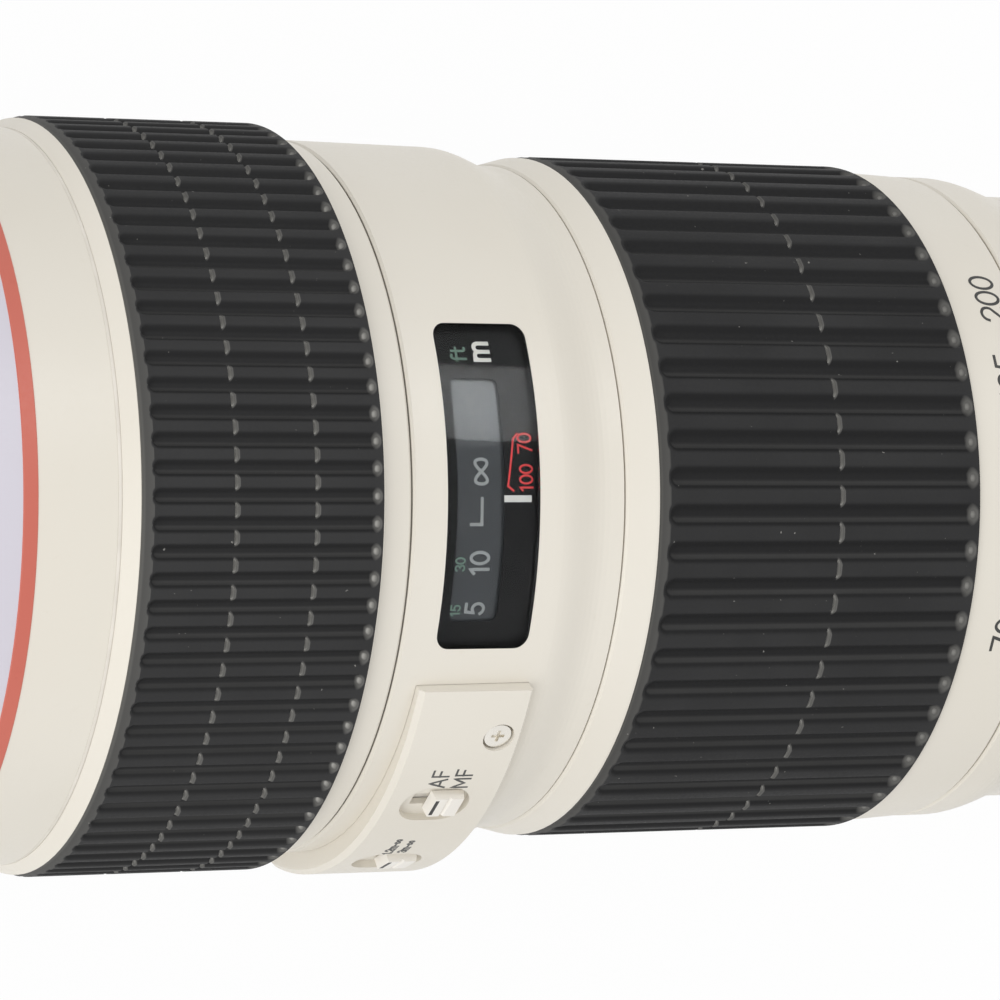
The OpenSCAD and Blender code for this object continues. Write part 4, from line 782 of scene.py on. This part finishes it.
def stroke_mesh(path, half, lift, radius_at, arc_r, points, faces):
    """A low raised bar along a path of (station, arc length), lying on the barrel."""
    dense = []
    for (x0, s0), (x1, s1) in zip(path, path[1:]):
        cuts = max(1, math.ceil(math.hypot(x1 - x0, s1 - s0) / STROKE_STEP))
        dense += [(x0 + (x1 - x0) * i / cuts, s0 + (s1 - s0) * i / cuts) for i in range(cuts)]
    dense.append(path[-1])
    closed = math.hypot(dense[0][0] - dense[-1][0], dense[0][1] - dense[-1][1]) < 1e-6
    if closed:
        dense.pop()
    count = len(dense)
    base = len(points)
    for i, (x, s) in enumerate(dense):
        before = dense[i - 1] if closed or i else dense[0]
        after = dense[(i + 1) % count] if closed or i < count - 1 else dense[-1]
        to_here = np.array((x - before[0], s - before[1]))
        to_next = np.array((after[0] - x, after[1] - s))
        ways = [way / np.linalg.norm(way) for way in (to_here, to_next) if np.linalg.norm(way) > 1e-9]
        way = sum(ways) / np.linalg.norm(sum(ways))
        spread_by = min(BEND_LIMIT, 1.0 / max(0.5, float(np.dot(way, ways[0]))))
        normal = np.array((-way[1], way[0])) * half * spread_by
        grow = 0.0
        if not closed and i in (0, count - 1):
            grow = half * (-1 if i == 0 else 1)
        for share, height in ((-1.0, -lift), (-0.8, lift), (0.8, lift), (1.0, -lift)):
            px = x + normal[0] * share + way[0] * grow
            ps = s + normal[1] * share + way[1] * grow
            turn = math.degrees(ps / arc_r)
            points.append(on_barrel(px, radius_at(px, turn) + height, turn))
    last = count if closed else count - 1
    for i in range(last):
        a, b = base + 4 * i, base + 4 * ((i + 1) % count)
        faces += [(a + k, a + (k + 1) % 4, b + (k + 1) % 4, b + k) for k in range(4)]
    if not closed:
        faces.append(tuple(base + k for k in range(4)))
        faces.append(tuple(base + 4 * (count - 1) + k for k in range(3, -1, -1)))


def make_marks(name, strokes, half, lift, radius_at, arc_r, body, material):
    points, faces = [], []
    for stroke in strokes:
        stroke_mesh(stroke, half, lift, radius_at, arc_r, points, faces)
    make_piece(name, points, faces, body, material, 50.0)


def level(radius):
    return lambda x, turn: radius


def number_band_radius(x, turn):
    return float(np.interp(x, NUMBER_BAND, NUMBER_BAND_R))


def panel_radius(x, turn):
    off = math.radians(turn - PANEL_LOW_TURN)
    return PANEL_SHIFT * math.cos(off) + math.sqrt(PANEL_CURVE_R ** 2 - (PANEL_SHIFT * math.sin(off)) ** 2)


def make_focal_numbers():
    strokes = []
    for text, turn in FOCAL_MARKS:
        strokes += words(text, NUMBER_X, turn, NUMBER_HEIGHT, NUMBER_R)
        strokes += line(NUMBER_TICK_X[0], turn, NUMBER_TICK_X[1], turn, NUMBER_R)
    make_marks(
        "focal_numbers", strokes, 0.17, MARK_LIFT, number_band_radius, NUMBER_R,
        "zoom_ring", BLACK_INK,
    )


def make_distance_scale():
    r = DRUM_R
    pale = words("8", -105.9, 4.0, 2.5, r)
    pale += line(METRE_X, INDEX_TURN, METRE_X, -4.5, r) + line(METRE_X, -4.5, -106.8, -4.5, r)
    for text, turn in METRE_MARKS:
        pale += words(text, METRE_X, turn, METRE_HEIGHT, r)
    make_marks("metre_scale", pale, 0.17, SCALE_LIFT, level(r), r, "focus_drive", SCALE_INK)
    green = []
    for text, turn in FOOT_MARKS:
        green += words(text, FOOT_X, turn, FOOT_HEIGHT, r)
    make_marks("foot_scale", green, 0.1, SCALE_LIFT, level(r), r, "focus_drive", GREEN_INK)


def make_window_marks():
    r = MASK_R
    index = line(-103.15, INDEX_TURN, -100.95, INDEX_TURN, r)
    make_marks("window_index", index, 0.36, MARK_LIFT, level(r), r, "barrel", PALE_INK)
    unit = words("m", -105.0, 23.5, 2.2, r)
    make_marks("window_metre_unit", unit, 0.22, MARK_LIFT, level(r), r, "barrel", PALE_INK)
    green = words("ft", -107.2, 23.0, 1.6, r)
    make_marks("window_foot_unit", green, 0.14, MARK_LIFT, level(r), r, "barrel", GREEN_INK)
    red = words("100", -101.15, 2.9, 1.4, r) + words("70", -101.2, 8.4, 1.5, r)
    tail, far_end, near_end, hook = RED_HOOK
    red += line(*far_end, *near_end, r) + line(*near_end, *hook, r)
    red += line(*far_end, *tail, r)
    make_marks("window_red_marks", red, 0.11, MARK_LIFT, level(r), r, "barrel", RED_INK)


def make_panel_marks():
    r = panel_radius(0.0, -56.0)
    labels = words("AF", -106.2, -47.0, 1.8, r) + words("MF", -103.7, -47.0, 1.8, r)
    labels += words("1.2m-8", -106.6, -66.0, 0.9, r) + words("3m-8", -105.1, -66.0, 0.9, r)
    make_marks("switch_labels", labels, 0.13, MARK_LIFT, panel_radius, r, "barrel", GREY_INK)


def make_knob_line(body, turn):
    """The black line across the front edge of a switch knob."""
    radius = panel_radius(0.0, turn) + KNOB_PROUD
    half = math.degrees(KNOB_LINE_HALF / radius)
    edge = line(KNOB_FRONT_X, turn - half, KNOB_FRONT_X, turn + half, radius)

    def knob_top(x, at):
        return radius / math.cos(math.radians(at - turn))

    make_marks(f"{body}_line", edge, 0.22, SCALE_LIFT, knob_top, radius, body, BLACK_INK)


def make_index_marks():
    r = REAR_BAND_R
    pointer = line(ZOOM_INDEX_X[0], 0.0, ZOOM_INDEX_X[1], 0.0, r)
    make_marks("zoom_index", pointer, 0.25, SCALE_LIFT, level(r), r, "barrel", BLACK_INK)
    r = REAR_SEAT_R
    dot = [
        arc(MOUNT_DOT_X, 0.0, 0.55, 0.55, 0, 360, 20),
        [(MOUNT_DOT_X - 0.02, 0.0), (MOUNT_DOT_X + 0.02, 0.0)],
    ]
    make_marks("mount_index", dot, 0.62, 0.03, level(r), r, "barrel", RED_INK)


make_focal_numbers()
make_distance_scale()
make_window_marks()
make_panel_marks()
make_knob_line("mode_switch", MODE_KNOB_TURN)
make_knob_line("range_switch", RANGE_KNOB_TURN)
make_index_marks()


def make_filter_thread():
    """The female thread in the filter ring: a true helix of fine ridges."""
    pitch, depth, columns, per_turn = 0.75, 0.34, 144, 6
    x0, x1 = FILTER_FRONT_X + 0.5, FILTER_FRONT_X + FILTER_THREAD_LEN - 0.1
    count = int((x1 - x0) / pitch * per_turn)
    loops = []
    for i in range(count + 1):
        x = x0 + (x1 - x0) * i / count
        loop = []
        for k in range(columns):
            turn = 360.0 * k / columns
            wave = abs(((x - pitch * turn / 360.0) / pitch) % 1.0 - 0.5) * 2
            crest = 0.02 + depth * wave * min(1.0, (x - x0) / 0.4, (x1 - x) / 0.4)
            loop.append(on_barrel(x, FILTER_THREAD_R - crest, turn))
        loops.append(loop)
    for x in (x1, x0):
        loops.append([on_barrel(x, FILTER_THREAD_R + 0.3, 360.0 * k / columns) for k in range(columns)])
    points = [p for loop in loops for p in loop]
    faces = loop_faces(len(loops), columns)
    make_piece("filter_thread", points, faces, "barrel", BLACK_METAL, 25.0)


make_filter_thread()


def make_dust_seal(name, span, top_r, bottom_r, chamfer, material):
    """A felt ring in the gap beside a turning ring, low domed, that also fills a chamfer in front of it."""
    dome = 0.05
    x0, x1 = span
    mid, half = (x0 - chamfer + x1) / 2, (x1 - x0 + chamfer) / 2
    section = [(x0, bottom_r), (x0, top_r - dome - chamfer)]
    for a in range(0, 181, 30):
        turn = math.radians(a)
        section.append((mid - half * math.cos(turn), top_r - dome + dome * math.sin(turn)))
    section.append((x1, bottom_r))
    columns = 240
    points = [on_barrel(x, r, 360.0 * k / columns) for x, r in section for k in range(columns)]
    make_piece(name, points, loop_faces(len(section), columns), "barrel", material)


make_dust_seal(
    "front_dust_seal", span=(-143.69, -143.51), top_r=36.78, bottom_r=35.0, chamfer=0.22, material=FELT
)
make_dust_seal(
    "rear_dust_seal", span=(-113.78, -113.62), top_r=36.1, bottom_r=35.4, chamfer=0.01, material=DARK_FELT
)


# Stage and light


def white_where_seen(tree, target, dull, white):
    """Shows white to the camera, in reflections and through glass, and the dull shader to all other rays."""
    path = add(tree, "ShaderNodeLightPath")
    seen = sum_of(tree, path.outputs["Is Camera Ray"], path.outputs["Is Glossy Ray"], "MAXIMUM")
    seen = sum_of(tree, seen, path.outputs["Is Transmission Ray"], "MAXIMUM")
    mix = add(tree, "ShaderNodeMixShader")
    feed(tree, mix.inputs[0], seen)
    feed(tree, mix.inputs[1], dull)
    feed(tree, mix.inputs[2], white)
    feed(tree, target, mix.outputs[0])


def make_floor():
    mesh = bpy.data.meshes.new("table")
    h = FLOOR_HALF
    mesh.from_pydata([(-h, -h, 0), (h, -h, 0), (h, h, 0), (-h, h, 0)], [], [(0, 1, 2, 3)])
    floor = bpy.data.objects.new("table", mesh)
    floor.location = (0, 0, FLOOR_Z)
    bpy.context.scene.collection.objects.link(floor)
    material = bpy.data.materials.new("pale_table")
    material.use_nodes = True
    tree = material.node_tree
    shader = tree.nodes["Principled BSDF"]
    shader.inputs["Roughness"].default_value = 0.9
    shader.inputs["Base Color"].default_value = (0.82, 0.82, 0.82, 1)
    glow = add(tree, "ShaderNodeEmission")
    veil = add(tree, "ShaderNodeMixShader")
    veil.inputs[0].default_value = FLOOR_GLOW
    feed(tree, veil.inputs[1], shader.outputs[0])
    feed(tree, veil.inputs[2], glow.outputs[0])
    surface = tree.nodes["Material Output"].inputs["Surface"]
    white_where_seen(tree, surface, shader.outputs[0], veil.outputs[0])
    mesh.materials.append(material)


def make_world():
    world = bpy.data.worlds.new("white_room")
    bpy.context.scene.world = world
    world.use_nodes = True
    tree = world.node_tree
    ambient = tree.nodes["Background"]
    ambient.inputs["Color"].default_value = (1, 1, 1, 1)
    ambient.inputs["Strength"].default_value = 0.68
    white = add(tree, "ShaderNodeBackground")
    white.inputs["Color"].default_value = (1, 1, 1, 1)
    white.inputs["Strength"].default_value = 1.0
    surface = tree.nodes["World Output"].inputs["Surface"]
    white_where_seen(tree, surface, ambient.outputs[0], white.outputs[0])


def make_lamp(name, place, aim, size, power):
    data = bpy.data.lights.new(name, "AREA")
    data.shape = "RECTANGLE"
    data.size, data.size_y = size
    data.energy = power
    lamp = bpy.data.objects.new(name, data)
    lamp.location = place
    way = Vector(place) - Vector(aim)
    lamp.rotation_mode = "QUATERNION"
    lamp.rotation_quaternion = way.to_track_quat("Z", "X")
    lamp.visible_camera = False
    bpy.context.scene.collection.objects.link(lamp)


make_floor()
make_world()
make_lamp("front_softbox", (-0.75, -0.24, 0.6), (-0.09, 0, 0), (0.7, 0.7), 3.05)
make_lamp("low_softbox", (-0.85, -0.6, 0.26), (-0.12, 0, 0), (0.5, 0.5), 0.9)
make_lamp("top_softbox", (0.21, 0.36, 0.62), (-0.105, 0.01, 0.035), (0.25, 0.22), 0.95)

bpy.context.scene.view_settings.view_transform = "Standard"
